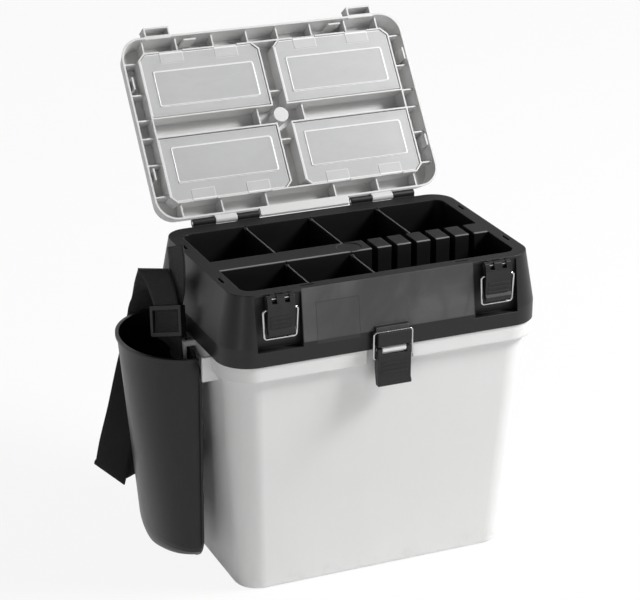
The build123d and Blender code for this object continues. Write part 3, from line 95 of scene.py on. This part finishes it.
class Finish:
    """A material of the box, built node by node."""

    def __init__(self, name):
        self.material = bpy.data.materials.new(name)
        self.material.use_nodes = True
        self.tree = self.material.node_tree
        self.tree.nodes.clear()

    def add(self, kind, settings=None, sockets=None, out=0):
        """A node of a kind, with its settings made first and then its sockets set or linked."""
        node = self.tree.nodes.new("ShaderNode" + kind)
        for key, value in (settings or {}).items():
            setattr(node, key, value)
        for key, value in (sockets or {}).items():
            if isinstance(value, Tone):
                self.tree.links.new(value.socket, node.inputs[key])
            else:
                node.inputs[key].default_value = value
        return Tone(self, node.outputs[out]) if node.outputs else None

    def place(self, out="Object"):
        """Places on the piece, which stay on it at every pose."""
        return self.add("TexCoord", out=out)

    def axes(self, where):
        """The three parts of a vector."""
        split = self.add("SeparateXYZ", sockets={0: where})
        return [Tone(self, socket) for socket in split.socket.node.outputs]

    def stretch(self, where, scale):
        return self.add("VectorMath", {"operation": "MULTIPLY"}, {0: where, 1: scale})

    def noise(self, where, scale, detail=3.0, rough=0.5, warp=0.0):
        return self.add(
            "TexNoise", {"normalize": True},
            {"Vector": where, "Scale": scale, "Detail": detail, "Roughness": rough, "Distortion": warp},
        )

    def cells(self, where, scale):
        return self.add("TexVoronoi", {"feature": "F1"}, {"Vector": where, "Scale": scale})

    def mix(self, share, first, second):
        return self.add("Mix", {"data_type": "RGBA"}, {0: share, 6: first, 7: second}, out=2)

    def soft_edges(self, radius):
        return self.add("Bevel", {"samples": 4}, {"Radius": radius})

    def edge(self, soft, low, high):
        """1 on the piece's edges, where the rounded normal leaves the face's own, and 0 on its faces."""
        flat = self.add("NewGeometry", out="Normal")
        match = self.add("VectorMath", {"operation": "DOT_PRODUCT"}, {0: soft, 1: flat}, out=1)
        return (1.0 - match).rise(low, high)

    def upward(self, low, high):
        """1 on faces that look up when the box is at rest."""
        return self.axes(self.place("Normal"))[2].rise(low, high)

    def bump(self, height, distance, strength, normal=None):
        sockets = {"Height": height, "Distance": distance, "Strength": strength}
        if normal is not None:
            sockets["Normal"] = normal
        return self.add("Bump", sockets=sockets)

    def close(self, **sockets):
        """Ends the finish with its shader. Socket names are written with _ for a space."""
        shader = self.add("BsdfPrincipled", sockets={k.replace("_", " "): v for k, v in sockets.items()})
        self.add("OutputMaterial", sockets={"Surface": shader})
        return self.material


def grey(level, warm=0.0):
    """A neutral colour, with a slight warm cast where asked."""
    return (level * (1 + warm), level, level * (1 - warm), 1.0)


# Finishes, with lengths in metres

DARKENING_TOP = 0.035
SKIN_SCALE, SKIN_DEPTH = 1300.0, 0.00002


def pale_plastic(name, level, bevel, edge_highlight_level):
    """Pale grey moulded plastic with a satin skin, faint flow marks, handling scuffs, patches that darken it
    towards the bottom, and a painted highlight on its edges.
    """
    f = Finish(name)
    where = f.place()
    z = f.axes(where)[2]
    cloud = f.noise(where, 9.0, detail=3.0, rough=0.55)
    flow = f.noise(f.stretch(where, (1.0, 1.0, 0.18)), 42.0, detail=4.0, rough=0.6, warp=0.6)
    speck = f.noise(where, 1900.0, detail=2.0, rough=0.6)
    scuff = f.noise(f.stretch(where, (1.0, 1.0, 7.0)), 95.0, detail=5.0, rough=0.72, warp=1.1)
    scuff = scuff.rise(0.66, 0.76)
    # noisy patches that make the plastic darker towards the bottom, fading out a few centimetres up
    foot_darkening = f.noise(where, 55.0, detail=6.0, rough=0.7).rise(0.45, 0.75) * (1.0 - z.rise(0.0, DARKENING_TOP))
    soft = f.soft_edges(bevel)
    tone = 0.5 * cloud + 0.3 * flow + 0.2 * speck
    colour = f.mix(tone, grey(level * 0.955, 0.004), grey(level * 1.045, 0.006))
    colour = f.mix(scuff * 0.22, colour, grey(level * 0.82, 0.01))
    colour = f.mix(foot_darkening * 0.25, colour, grey(level * 0.62, 0.03))
    # painted highlight: edges are lightened where the rounded normal leaves the face
    colour = f.mix(f.edge(soft, 0.04, 0.25) * 0.6, colour, grey(edge_highlight_level))
    rough = 0.36 + 0.1 * flow + 0.16 * scuff + 0.12 * foot_darkening
    skin = f.noise(where, SKIN_SCALE, detail=2.0, rough=0.5)
    normal = f.bump(skin + 5.0 * cloud, SKIN_DEPTH, 0.55, soft)
    return f.close(Base_Color=colour, Roughness=rough, Normal=normal, IOR=1.47)


BLACK_GLOSS, SATIN_GLOSS = 0.27, 0.34
PIT_SCALE, SPARK_SCALE, SPARK_DEPTH = 1500.0, 2600.0, 0.00003


def spark_grain(f, where):
    """Height of the fine grain that a spark-eroded mould leaves on black plastic."""
    return f.cells(where, PIT_SCALE) + 0.6 * f.noise(where, SPARK_SCALE, detail=2.0)


def black_plastic(name, level, rough_base, bevel, grain, edge_highlight_level):
    """Black moulded plastic with a fine spark grain, dust in the grain, rubbed patches, and edges lighter
    from wear and from a painted highlight, most on edges that face up.
    """
    f = Finish(name)
    where = f.place()
    cloud = f.noise(where, 14.0, detail=4.0, rough=0.6, warp=0.4)
    rub = f.noise(f.stretch(where, (1.0, 1.0, 0.35)), 38.0, detail=5.0, rough=0.65, warp=0.8).rise(0.52, 0.8)
    dust = f.noise(where, 620.0, detail=3.0, rough=0.7).rise(0.62, 0.8)
    soft = f.soft_edges(bevel)
    # edge wear plus painted highlight: edges lighter, most on those facing up where light falls
    edge_wear_and_highlight = f.edge(soft, 0.01, 0.14) * (0.25 + 0.75 * f.upward(0.2, 0.7))
    colour = f.mix(cloud, grey(level * 0.8), grey(level * 1.25))
    colour = f.mix(rub * 0.35, colour, grey(level * 2.1))
    colour = f.mix(dust * 0.1, colour, grey(0.09, 0.02))
    colour = f.mix(edge_wear_and_highlight * (0.45 + 0.5 * cloud), colour, grey(edge_highlight_level))
    rough = rough_base - 0.08 + 0.14 * cloud + 0.1 * dust - 0.07 * rub
    normal = f.bump(spark_grain(f, where), SPARK_DEPTH * grain, 0.6, soft)
    return f.close(Base_Color=colour, Roughness=rough, Normal=normal, IOR=1.5, Specular_IOR_Level=BLACK_GLOSS)


PANEL_HALF, PANEL_FOOT, PANEL_Y = 0.1012, 0.2995, -0.1
PATCH_X, PATCH_Z, PATCH_HALF_X, PATCH_HALF_Z = -0.0605, 0.3185, 0.0247, 0.0225
PATCH_LINE = 0.0006
MASK_EDGE = 0.001
TRAY_HALF, TRAY_FRONT, TRAY_BACK, TRAY_TOP = 0.1612, -0.0972, 0.0907, 0.3566
SPINE_EDGE_Y, SPINE_TOP = -0.029, 0.358


def section_plastic():
    """The tray section's black plastic: satin walls, and a greyed panel in front with a plain patch."""
    f = Finish("section_black")
    where = f.place()
    x, y, z = f.axes(where)
    front = (-f.axes(f.place("Normal"))[1]).rise(0.55, 0.8) * (PANEL_Y - y).rise(0.0, MASK_EDGE)
    in_panel = (PANEL_HALF - abs(x)).rise(0.0, 0.0012) * (z - PANEL_FOOT).rise(0.0, 0.0015) * front
    off_x, off_z = abs(x - PATCH_X) - PATCH_HALF_X, abs(z - PATCH_Z) - PATCH_HALF_Z
    off = off_x.largest(off_z)
    patch = (-off).rise(0.0, 0.0007) * front
    patch_line = (PATCH_LINE - abs(off)).rise(0.0, 0.0003) * front
    in_width = (TRAY_HALF - abs(x)).rise(0.0, MASK_EDGE)
    inside = in_width * (TRAY_TOP - z).rise(0.0, MASK_EDGE)
    inside = inside * (y - TRAY_FRONT).rise(0.0, MASK_EDGE) * (TRAY_BACK - y).rise(0.0, MASK_EDGE)
    cloud = f.noise(where, 16.0, detail=4.0, rough=0.6, warp=0.5)
    smear = f.noise(f.stretch(where, (0.7, 1.0, 0.45)), 17.0, detail=4.0, rough=0.55, warp=1.3)
    wisp = f.noise(f.stretch(where, (1.5, 1.0, 0.45)), 15.0, detail=1.0, rough=0.4, warp=0.9)
    wisp = (1.0 - abs(wisp - 0.52) * 16.0).largest(0.0) * smear.rise(0.35, 0.6)
    # painted highlight: a bright line along the spine's front top edge
    spine_highlight = 1.0 - abs(y - SPINE_EDGE_Y).rise(0.001, 0.0018)
    spine_highlight = spine_highlight * (z - SPINE_TOP).rise(-0.001, -0.0003) * in_width
    dust = f.noise(where, 700.0, detail=3.0, rough=0.7).rise(0.6, 0.8)
    soft = f.soft_edges(0.0016)
    # edge wear plus painted highlight on the edges that face up
    edge_wear_and_highlight = f.edge(soft, 0.03, 0.2) * f.upward(0.1, 0.6)
    colour = f.mix(cloud, grey(0.007), grey(0.013))
    # painted shade: the tray's inside is darkened to near black, as if lamp light did not reach it
    colour = f.mix(inside * 0.75, colour, grey(0.003))
    panel = f.mix(smear.rise(0.3, 0.72), grey(0.046), grey(0.088))
    colour = f.mix(in_panel, colour, panel)
    colour = f.mix(wisp * in_panel * 0.35, colour, grey(0.036))
    colour = f.mix(patch * 0.3, colour, grey(0.05))
    colour = f.mix(patch_line * 0.6, colour, grey(0.022))
    colour = f.mix(dust * 0.08, colour, grey(0.1, 0.02))
    colour = f.mix(edge_wear_and_highlight * (0.2 + 0.5 * cloud), colour, grey(0.07))
    colour = f.mix(spine_highlight * (0.35 + 0.5 * cloud), colour, grey(0.34))
    rough = 0.34 + 0.12 * cloud + 0.06 * dust + in_panel * (0.1 + 0.12 * smear) + inside * 0.12
    rough = rough + 0.25 * f.upward(0.6, 0.9)
    height = spark_grain(f, where) - 3.0 * patch_line + 9.0 * cloud
    normal = f.bump(height, SPARK_DEPTH, 0.6, soft)
    return f.close(Base_Color=colour, Roughness=rough, Normal=normal, IOR=1.5, Specular_IOR_Level=SATIN_GLOSS)


LID_TURN = radians(126.7)
LID_AXIS_Y, LID_AXIS_Z = 0.1156, 0.3608
COVER_X, COVER_HALF_X, COVER_Y, COVER_HALF_Y = 0.083, 0.072, 0.0509, 0.0379
RAISED_X, RAISED_HALF_X, RAISED_Y, RAISED_HALF_Y, RAISED_R = 0.082, 0.061, 0.0463, 0.021, 0.003
CLIP_NEAR, CLIP_FAR, CLIP_HALF, CLIP_FROM = 0.0495, 0.1165, 0.0138, 0.0768


def along_lid(y, z):
    """Distance from the lid's middle line, in the plane of the open lid."""
    out, up = y - LID_AXIS_Y, z - LID_AXIS_Z
    return abs(out * cos(LID_TURN) - up * sin(LID_TURN) + LID_AXIS_Y)


def frosted_plastic():
    """Milky clear plastic of the bin covers, with a painted highlight along the raised panel, the rim and the
    clip outlines.
    """
    f = Finish("frosted_cover")
    where = f.place()
    x, y, z = f.axes(where)
    along, across = along_lid(y, z), abs(x)
    off_x = abs(across - RAISED_X) - (RAISED_HALF_X - RAISED_R)
    off_y = abs(along - RAISED_Y) - (RAISED_HALF_Y - RAISED_R)
    raised = (off_x.largest(0.0) ** 2 + off_y.largest(0.0) ** 2) ** 0.5
    raised = raised + off_x.largest(off_y).smallest(0.0) - RAISED_R
    rim = (abs(across - COVER_X) - COVER_HALF_X).largest(abs(along - COVER_Y) - COVER_HALF_Y)
    ridge = 1.0 - abs(raised).rise(0.0006, 0.0014)
    edge = (rim + 0.0014).rise(0.0, 0.0007) * (0.0008 - rim).rise(0.0, 0.0006)
    inside = (-raised).rise(0.0, MASK_EDGE)
    clip = abs(across - CLIP_NEAR).smallest(abs(across - CLIP_FAR)) - CLIP_HALF
    clip = clip.largest(CLIP_FROM - along)
    clip_line = 1.0 - abs(clip).rise(0.0004, 0.001)
    clip = (-clip).rise(0.0, 0.0008)
    cloud = f.noise(where, 26.0, detail=4.0, rough=0.6, warp=0.5)
    swirl = f.noise(f.stretch(where, (0.35, 1.0, 1.0)), 60.0, detail=5.0, rough=0.65, warp=1.2)
    scratch = f.noise(f.stretch(where, (1.0, 9.0, 9.0)), 160.0, detail=4.0, rough=0.7, warp=0.4)
    scratch = scratch.rise(0.66, 0.74)
    colour = f.mix(cloud, grey(0.57, -0.004), grey(0.65, -0.004))
    colour = f.mix(inside * 0.35, colour, grey(0.56, -0.004))
    colour = f.mix(scratch * 0.2, colour, grey(0.8))
    colour = f.mix(clip * 0.3, colour, grey(0.78))
    # painted highlight: bright lines on the raised panel, the rim and the clip outlines
    colour = f.mix(ridge.largest(edge).largest(clip_line * 0.8) * 0.7, colour, grey(0.9))
    alpha = 0.64 + 0.12 * swirl + 0.1 * scratch + 0.24 * ridge.largest(edge)
    rough = 0.26 + 0.14 * cloud + 0.2 * scratch
    height = f.noise(where, 900.0, detail=2.0) + 4.0 * swirl + 20.0 * ridge
    normal = f.bump(height, SKIN_DEPTH, 0.5, f.soft_edges(0.0005))
    return f.close(Base_Color=colour, Roughness=rough, Alpha=alpha, Normal=normal, IOR=1.49)


def drawn_steel(name, streak):
    """Bright drawn wire with fine streaks along it and dull spots."""
    f = Finish(name)
    where = f.place()
    line = f.noise(f.stretch(where, streak), 900.0, detail=3.0, rough=0.6)
    spot = f.noise(where, 240.0, detail=4.0, rough=0.65).rise(0.58, 0.74)
    colour = f.mix(line, grey(0.42, 0.008), grey(0.62, 0.004))
    colour = f.mix(spot * 0.5, colour, grey(0.28, 0.03))
    rough = 0.2 + 0.12 * line + 0.2 * spot
    normal = f.bump(line, SKIN_DEPTH, 0.5)
    return f.close(Base_Color=colour, Roughness=rough, Metallic=1.0, Normal=normal)


RIB_PITCH, WEAVE_DEPTH = 0.0021, 0.0003
TWILL_PITCH, TWILL_ACROSS, TWILL_ALONG = 1.7, 38.0, 620.0
STITCH_LONG, STITCH_HALF, STITCH_PITCH, STITCH_THICK = 0.03, 0.014, 0.0034, 0.0007


def wave(length, pitch):
    """A sine along a length, from -1 to 1."""
    return (length * (2 * pi / pitch)).sine()


def webbing(sewn_from):
    """Black nylon webbing: ribs across, twill lines on them, thicker selvages, and a sewn box at its end."""
    f = Finish("black_webbing")
    u, v = f.axes(f.place("UV"))[:2]
    where = f.place()
    rib = (wave(v, RIB_PITCH) + 1.0) * 0.5
    twill = (wave(u * TWILL_ACROSS + v * TWILL_ALONG, TWILL_PITCH) + 1.0) * 0.5
    counter = (wave(u * TWILL_ACROSS - v * TWILL_ALONG, TWILL_PITCH) + 1.0) * 0.5
    weave = rib * 0.55 + twill.largest(counter) * 0.45
    selvage = (abs(u - 0.5) * 2.0).rise(0.9, 0.95)
    fuzz = f.noise(where, 2400.0, detail=3.0, rough=0.7)
    fade = f.noise(where, 30.0, detail=4.0, rough=0.6, warp=0.4)
    in_u = abs(u - 0.5) * (STRAP_W * MM) - STITCH_HALF
    in_v = abs(v - (sewn_from + STITCH_LONG / 2)) - STITCH_LONG / 2
    sewn = (STITCH_THICK - abs(in_u.largest(in_v))).rise(0.0, 0.0003)
    thread = sewn * (wave(v + u * (STRAP_W * MM), STITCH_PITCH) + 0.45).rise(0.0, 0.3)
    colour = f.mix(weave, grey(0.006), grey(0.036))
    colour = f.mix(fade.rise(0.45, 0.8) * 0.4, colour, grey(0.045, 0.01))
    colour = f.mix(fuzz.rise(0.62, 0.82) * 0.2, colour, grey(0.08))
    colour = f.mix(selvage * 0.35, colour, grey(0.018))
    colour = f.mix(thread * 0.8, colour, grey(0.07))
    rough = 0.72 + 0.16 * fuzz
    normal = f.bump(weave + 0.3 * fuzz + 0.4 * selvage + 0.8 * thread, WEAVE_DEPTH, 0.8)
    return f.close(
        Base_Color=colour, Roughness=rough, Normal=normal, Specular_IOR_Level=0.3,
        Sheen_Weight=0.12, Sheen_Roughness=0.45, Sheen_Tint=grey(0.6),
    )


def paint(finish, slot, *names):
    """Gives nodes of the frame a finish. The slot argument is not used."""
    for name in names:
        node = NODES[name]
        node.data.materials.clear()
        node.data.materials.append(finish)


SIDES = ("left", "right")
DIVIDERS = [f"divider_rear_{i}" for i in (1, 2, 3)] + [f"divider_front_{i}" for i in (1, 2)]
COVERS = [f"cover_{row}_{side}" for row in ("front", "rear") for side in SIDES]

paint(
    pale_plastic("pail_grey", level=0.72, bevel=0.0016, edge_highlight_level=0.78), "grey_plastic", "bucket",
)
paint(
    pale_plastic("lid_grey", level=0.64, bevel=0.0009, edge_highlight_level=0.84), "grey_plastic", "lid", "lid_ribs",
)
paint(section_plastic(), "black_plastic", "tray_section")
paint(
    black_plastic("divider_black", level=0.011, rough_base=0.42, bevel=0.0011, grain=1.0, edge_highlight_level=0.45),
    "black_plastic", *DIVIDERS,
)
paint(
    black_plastic("latch_black", level=0.016, rough_base=0.34, bevel=0.0007, grain=1.0, edge_highlight_level=0.07),
    "black_plastic", "latch_lever_left", "latch_lever_right", "centre_lever",
)
paint(
    black_plastic("holster_black", level=0.017, rough_base=0.38, bevel=0.001, grain=0.6, edge_highlight_level=0.1),
    "holster_plastic", "holster",
)
paint(
    black_plastic("adjuster_black", level=0.012, rough_base=0.3, bevel=0.0006, grain=0.6, edge_highlight_level=0.08),
    "adjuster_plastic", "tri_glide",
)
paint(frosted_plastic(), "frosted_plastic", *COVERS)
paint(
    drawn_steel("bail_steel", (1.0, 1.0, 0.06)), "steel",
    "latch_bail_left", "latch_bail_right", "centre_bail",
)
paint(
    drawn_steel("pin_steel", (0.06, 1.0, 1.0)), "steel",
    *[f"{pin}_{side}" for pin in ("lid_pin", "section_pin", "latch_pin") for side in SIDES], "centre_pin",
)


# Shoulder strap, with lengths in mm

SEWN_BACK = 122.0


def steps(points, per_step):
    """Points on a smooth line through the given ones."""
    line = []
    for i in range(len(points) - 1):
        a, b = points[max(i - 1, 0)], points[i]
        c, d = points[i + 1], points[min(i + 2, len(points) - 1)]
        for k in range(per_step):
            t = k / per_step
            bend, twist = 2 * a - 5 * b + 4 * c - d, 3 * b - a - 3 * c + d
            line.append(0.5 * (2 * b + (c - a) * t + bend * t ** 2 + twist * t ** 3))
    return line + [points[-1]]


def band(name, rulings, across=10, per_step=8):
    """A woven strap through rulings, each given by its two edge points in mm."""
    left = steps([Vector(a) for a, b in rulings], per_step)
    right = steps([Vector(b) for a, b in rulings], per_step)
    far_left, far_right = [0.0], [0.0]
    for i in range(1, len(left)):
        far_left.append(far_left[-1] + (left[i] - left[i - 1]).length)
        far_right.append(far_right[-1] + (right[i] - right[i - 1]).length)
    mesh = bmesh.new()
    uv = mesh.loops.layers.uv.new("along")
    rows = []
    for a, b in zip(left, right):
        rows.append([mesh.verts.new((a.lerp(b, k / across)) * MM) for k in range(across + 1)])
    for i in range(len(rows) - 1):
        for k in range(across):
            corners = ((i, k), (i, k + 1), (i + 1, k + 1), (i + 1, k))
            face = mesh.faces.new([rows[r][c] for r, c in corners])
            face.smooth = True
            for loop, (r, c) in zip(face.loops, corners):
                share = c / across
                along = far_left[r] * (1 - share) + far_right[r] * share
                loop[uv].uv = (share, along * MM)
    data = bpy.data.meshes.new(name)
    mesh.to_mesh(data)
    mesh.free()
    piece = bpy.data.objects.new(name, data)
    bpy.context.scene.collection.objects.link(piece)
    thick = piece.modifiers.new("thickness", "SOLIDIFY")
    thick.thickness, thick.offset = STRAP_T * MM, 0.0
    return piece, (far_left[-1] + far_right[-1]) / 2


def ruling(middle, wide, half=STRAP_W / 2):
    """Edge points of the strap from its middle and the direction of its width."""
    wide = Vector(wide).normalized() * half
    return Vector(middle) - wide, Vector(middle) + wide


BAR_X, BAR_Y, RIM_Z = 200.0, 3.5, 279.0
BACK_Y, LOW_Z = 117.8, 74.0
LEAN = radians(14)
UP = Vector((0, sin(LEAN), cos(LEAN)))
LEAN_WIDE = (0, cos(LEAN), -sin(LEAN))
LAYER_IN, LAYER_OUT = 195.45, 201.05
TURN_X, TURN_UP, TURN_R = 198.25, -15.35, 2.8
END_TURN_UP = 0.3
HALF_TURN = [radians(t) for t in (0, 45, 90, 135, 180)]
GLIDE_FACE = Vector((-0.898, -0.371, 0.24))
GLIDE_WIDE = Vector((-0.43, 0.855, -0.287))
GLIDE_UP = GLIDE_WIDE.cross(GLIDE_FACE)
GLIDE_IN = -5.1
GLIDE_OUT, GLIDE_BACK, GLIDE_RISE = 8.0, 3.6, 14.8
LOOP_FORWARD, LOOP_DOWN = 1.5, 11.0


def beside(out, back, up):
    """A place beside the left lug: out from its bar, back from its slot's middle, up from the rim."""
    return Vector((-BAR_X - out, BAR_Y + back, RIM_Z + up))


def in_glide(out, up):
    """A ruling of the strap in the adjuster, out from its outer layer and up from its middle."""
    middle = beside(GLIDE_OUT, GLIDE_BACK, GLIDE_RISE)
    return ruling(middle + GLIDE_FACE * out + GLIDE_UP * up, GLIDE_WIDE)


def leaning(out, up):
    """A ruling of the strap's leaning loop, at a distance out from the box and a height along the lean."""
    return ruling(Vector((-out, BAR_Y - LOOP_FORWARD, RIM_Z - LOOP_DOWN)) + UP * up, LEAN_WIDE)


tail = [
    ruling(beside(-8.5, 21.0, 94.0), (-0.13, 0.91, -0.39)),
    ruling(beside(-8.2, 14.9, 79.0), (-0.13, 0.93, -0.35)),
    ruling(beside(-7.4, 13.1, 63.0), (-0.15, 0.93, -0.33)),
    ruling(beside(-4.7, 14.1, 43.0), (-0.25, 0.93, -0.27)),
    in_glide(GLIDE_IN, 17),
    in_glide(GLIDE_IN, 0),
]
loop = [leaning(LAYER_IN, up) for up in (15, 4, TURN_UP + 4)]
loop += [leaning(TURN_X - TURN_R * cos(t), TURN_UP - TURN_R * sin(t)) for t in HALF_TURN]
loop += [leaning(LAYER_OUT, up) for up in (TURN_UP + 4, -6)]
rise = [
    ruling(beside(5.3, -2.2, -7.4), (-0.2, 0.94, -0.26)),
    in_glide(0, -14),
    in_glide(0, 0),
    in_glide(0, 15),
    ruling(beside(7.3, 24.5, 47.0), (-0.52, 0.81, -0.25)),
    ruling(beside(9.3, 36.5, 59.0), (-0.6, 0.77, -0.2), 19.5),
    ruling(beside(9.6, 42.4, 61.3), (-0.63, 0.76, -0.16), 19.5),
]
fall = [
    ruling(beside(8.0, 47.8, 58.3), (-0.656, 0.739, -0.163), 19.5),
    ruling(beside(3.9, 70.5, 36.0), (-0.743, 0.651, -0.158)),
    ruling(beside(0.7, 95.5, 16.8), (-0.656, 0.577, -0.486)),
    ruling(beside(2.0, 101.8, 4.7), (-0.74, 0.447, -0.507)),
    ruling(beside(2.9, 105.2, -4.5), (-0.837, 0.262, -0.479), 18.0),
    ruling(beside(1.4, 107.2, -18.7), (-0.989, 0.119, -0.097), 18.5),
    ruling(beside(6.0, 110.5, -51.0), (-0.93, 0.1, 0.25)),
    ruling(beside(14.5, 113.5, -89.0), (-0.92, 0.1, 0.3)),
    ruling(beside(25.0, 115.5, -136.0), (-0.9, 0.12, 0.36)),
    ruling(beside(35.0, 117.5, -179.0), (-0.84, 0.18, 0.48), 20.0),
    ruling(beside(41.5, 117.8, -211.5), (-0.728, 0.226, 0.647), 22.0),
]
back = [
    ruling((-BAR_X - 42.4, BACK_Y + 6.4, LOW_Z - 9.4), (-0.728, 0.16, 0.647), 22.0),
    ruling((-BAR_X - 41.0, BACK_Y + 9.2, LOW_Z - 6.5), (-0.7, 0.08, 0.7), 21.5),
    ruling((-BAR_X - 37.5, BACK_Y + 9.9, LOW_Z - 8.0), (-0.55, 0.0, 0.83), 20.0),
    ruling((-BAR_X - 22.0, BACK_Y + 12.0, LOW_Z - 4.0), (-0.2, 0.0, 0.98)),
    ruling((-BAR_X + 4.0, BACK_Y + 15.0, LOW_Z), (0.0, 0.0, 1.0)),
    ruling((-BAR_X + 50.0, BACK_Y + 18.0, LOW_Z - 8.0), (0.05, 0.0, 1.0)),
    ruling((0.0, BACK_Y + 18.0, LOW_Z - 11.0), (0.0, 0.0, 1.0)),
    ruling((BAR_X - 50.0, BACK_Y + 18.0, LOW_Z - 8.0), (-0.05, 0.0, 1.0)),
    ruling((BAR_X - 10.0, BACK_Y + 14.0, LOW_Z), (-0.1, -0.05, 0.99)),
    ruling((BAR_X + 6.0, BACK_Y - 6.0, LOW_Z + 18.0), (-0.1, -0.35, 0.93)),
    ruling((BAR_X + 11.0, BAR_Y + 76.5, LOW_Z + 50.0), (0.0, -0.7, 0.71)),
    ruling((BAR_X + 8.0, BAR_Y + 36.5, LOW_Z + 98.0), (0.0, -0.9, 0.42)),
    ruling((BAR_X + 3.5, BAR_Y + 10.5, LOW_Z + 138.0), (0.0, -0.97, 0.24)),
]
end_loop = [ruling((LAYER_OUT, BAR_Y, RIM_Z - drop), (0, -1, 0)) for drop in (39, 21, 7)]
end_loop += [
    ruling((TURN_X + TURN_R * cos(t), BAR_Y, RIM_Z + END_TURN_UP + TURN_R * sin(t)), (0, -1, 0))
    for t in HALF_TURN
]
end_loop += [ruling((LAYER_IN, BAR_Y, RIM_Z - drop), (0, -1, 0)) for drop in (7, 21, 41)]

strap, strap_length = band("carry_strap", tail + loop + rise + fall + back + end_loop)
strap.data.materials.append(webbing((strap_length - SEWN_BACK) * MM))
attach(strap, "pail")
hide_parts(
    "strap_loop_left", "strap_tail", "strap_rise", "strap_fall", "strap_back_run", "strap_loop_right",
)


# Floor, light and camera, in metres

FLOOR_WHITE, FLOOR_REACH = 0.9, 20.0
SWEEP_FROM, SWEEP_R, BACKDROP_TOP = 2.4, 1.2, 4.0


def floor_white():
    """A pale floor that keeps the object's soft shadow and reads as white to the camera."""
    f = Finish("studio_floor")
    where = f.place()
    colour = f.mix(f.noise(where, 3.0, detail=2.0), grey(0.86), grey(0.88))
    matt = f.add("BsdfDiffuse", sockets={"Color": colour})
    glow = f.add("Emission", sockets={"Color": grey(1.0), "Strength": 1.0})
    path = f.add("LightPath").socket.node.outputs
    seen = Tone(f, path["Is Camera Ray"]).largest(Tone(f, path["Is Glossy Ray"]))
    seen = seen.largest(Tone(f, path["Is Transmission Ray"]))
    shader = f.add("MixShader", sockets={0: seen * FLOOR_WHITE, 1: matt, 2: glow})
    f.add("OutputMaterial", sockets={"Surface": shader})
    return f.material


def studio_floor():
    """Floor that sweeps up into a backdrop behind the object."""
    mesh = bmesh.new()
    profile = [(-FLOOR_REACH, 0.0), (SWEEP_FROM, 0.0)]
    for turn in range(9, 91, 9):
        a = radians(turn)
        profile.append((SWEEP_FROM + SWEEP_R * sin(a), SWEEP_R - SWEEP_R * cos(a)))
    profile.append((SWEEP_FROM + SWEEP_R, BACKDROP_TOP))
    rows = [[mesh.verts.new((x, y, z)) for x in (-FLOOR_REACH, FLOOR_REACH)] for y, z in profile]
    for a, b in zip(rows, rows[1:]):
        mesh.faces.new((a[0], a[1], b[1], b[0])).smooth = True
    data = bpy.data.meshes.new("studio_floor")
    mesh.to_mesh(data)
    mesh.free()
    floor = bpy.data.objects.new("studio_floor", data)
    bpy.context.scene.collection.objects.link(floor)
    data.materials.append(floor_white())


def lamp(name, place, target, size, power):
    """A soft box that looks at its target."""
    data = bpy.data.lights.new(name, "AREA")
    data.shape, data.size, data.size_y, data.energy = "RECTANGLE", size[0], size[1], power
    lamp_object = bpy.data.objects.new(name, data)
    bpy.context.scene.collection.objects.link(lamp_object)
    lamp_object.location = place
    lamp_object.rotation_euler = (Vector(target) - Vector(place)).to_track_quat("-Z", "Y").to_euler()


studio_floor()
lamp("key_softbox", (2.52, -1.08, 2.64), (0.0, 0.0, 0.3), (1.1, 1.1), 168)
lamp("front_softbox", (0.6, -2.8, 0.5), (0.0, 0.0, 0.15), (1.4, 0.8), 8)
lamp("left_strip", (-1.9, -1.9, 0.5), (0.0, 0.0, 0.25), (0.3, 1.0), 6)

ROOM_LIGHT = 0.12
world = bpy.data.worlds.new("studio")
bpy.context.scene.world = world
world.use_nodes = True
room = world.node_tree.nodes["Background"]
room.inputs["Color"].default_value = grey(1.0)
room.inputs["Strength"].default_value = ROOM_LIGHT

EYE = Vector((-0.9517, -2.1014, 1.2104))
FORWARD = Vector((0.3727, 0.8505, -0.371)).normalized()
ROLL = radians(0.33)
LENS_MM, SENSOR_MM, SIGHT = 125.13, 36.0, 50.0
level = FORWARD.cross(Vector((0, 0, 1))).normalized()
above = level.cross(FORWARD)
right = level * cos(ROLL) + above * sin(ROLL)
above = above * cos(ROLL) - level * sin(ROLL)
lens = bpy.data.cameras.new("photo_view")
lens.lens, lens.sensor_width, lens.sensor_fit = LENS_MM, SENSOR_MM, "HORIZONTAL"
lens.clip_end = SIGHT
camera = bpy.data.objects.new("photo_view", lens)
bpy.context.scene.collection.objects.link(camera)
camera.matrix_world = Matrix((
    (right.x, above.x, -FORWARD.x, EYE.x),
    (right.y, above.y, -FORWARD.y, EYE.y),
    (right.z, above.z, -FORWARD.z, EYE.z),
    (0, 0, 0, 1),
))
bpy.context.scene.camera = camera
bpy.context.scene.view_settings.view_transform = "Standard"
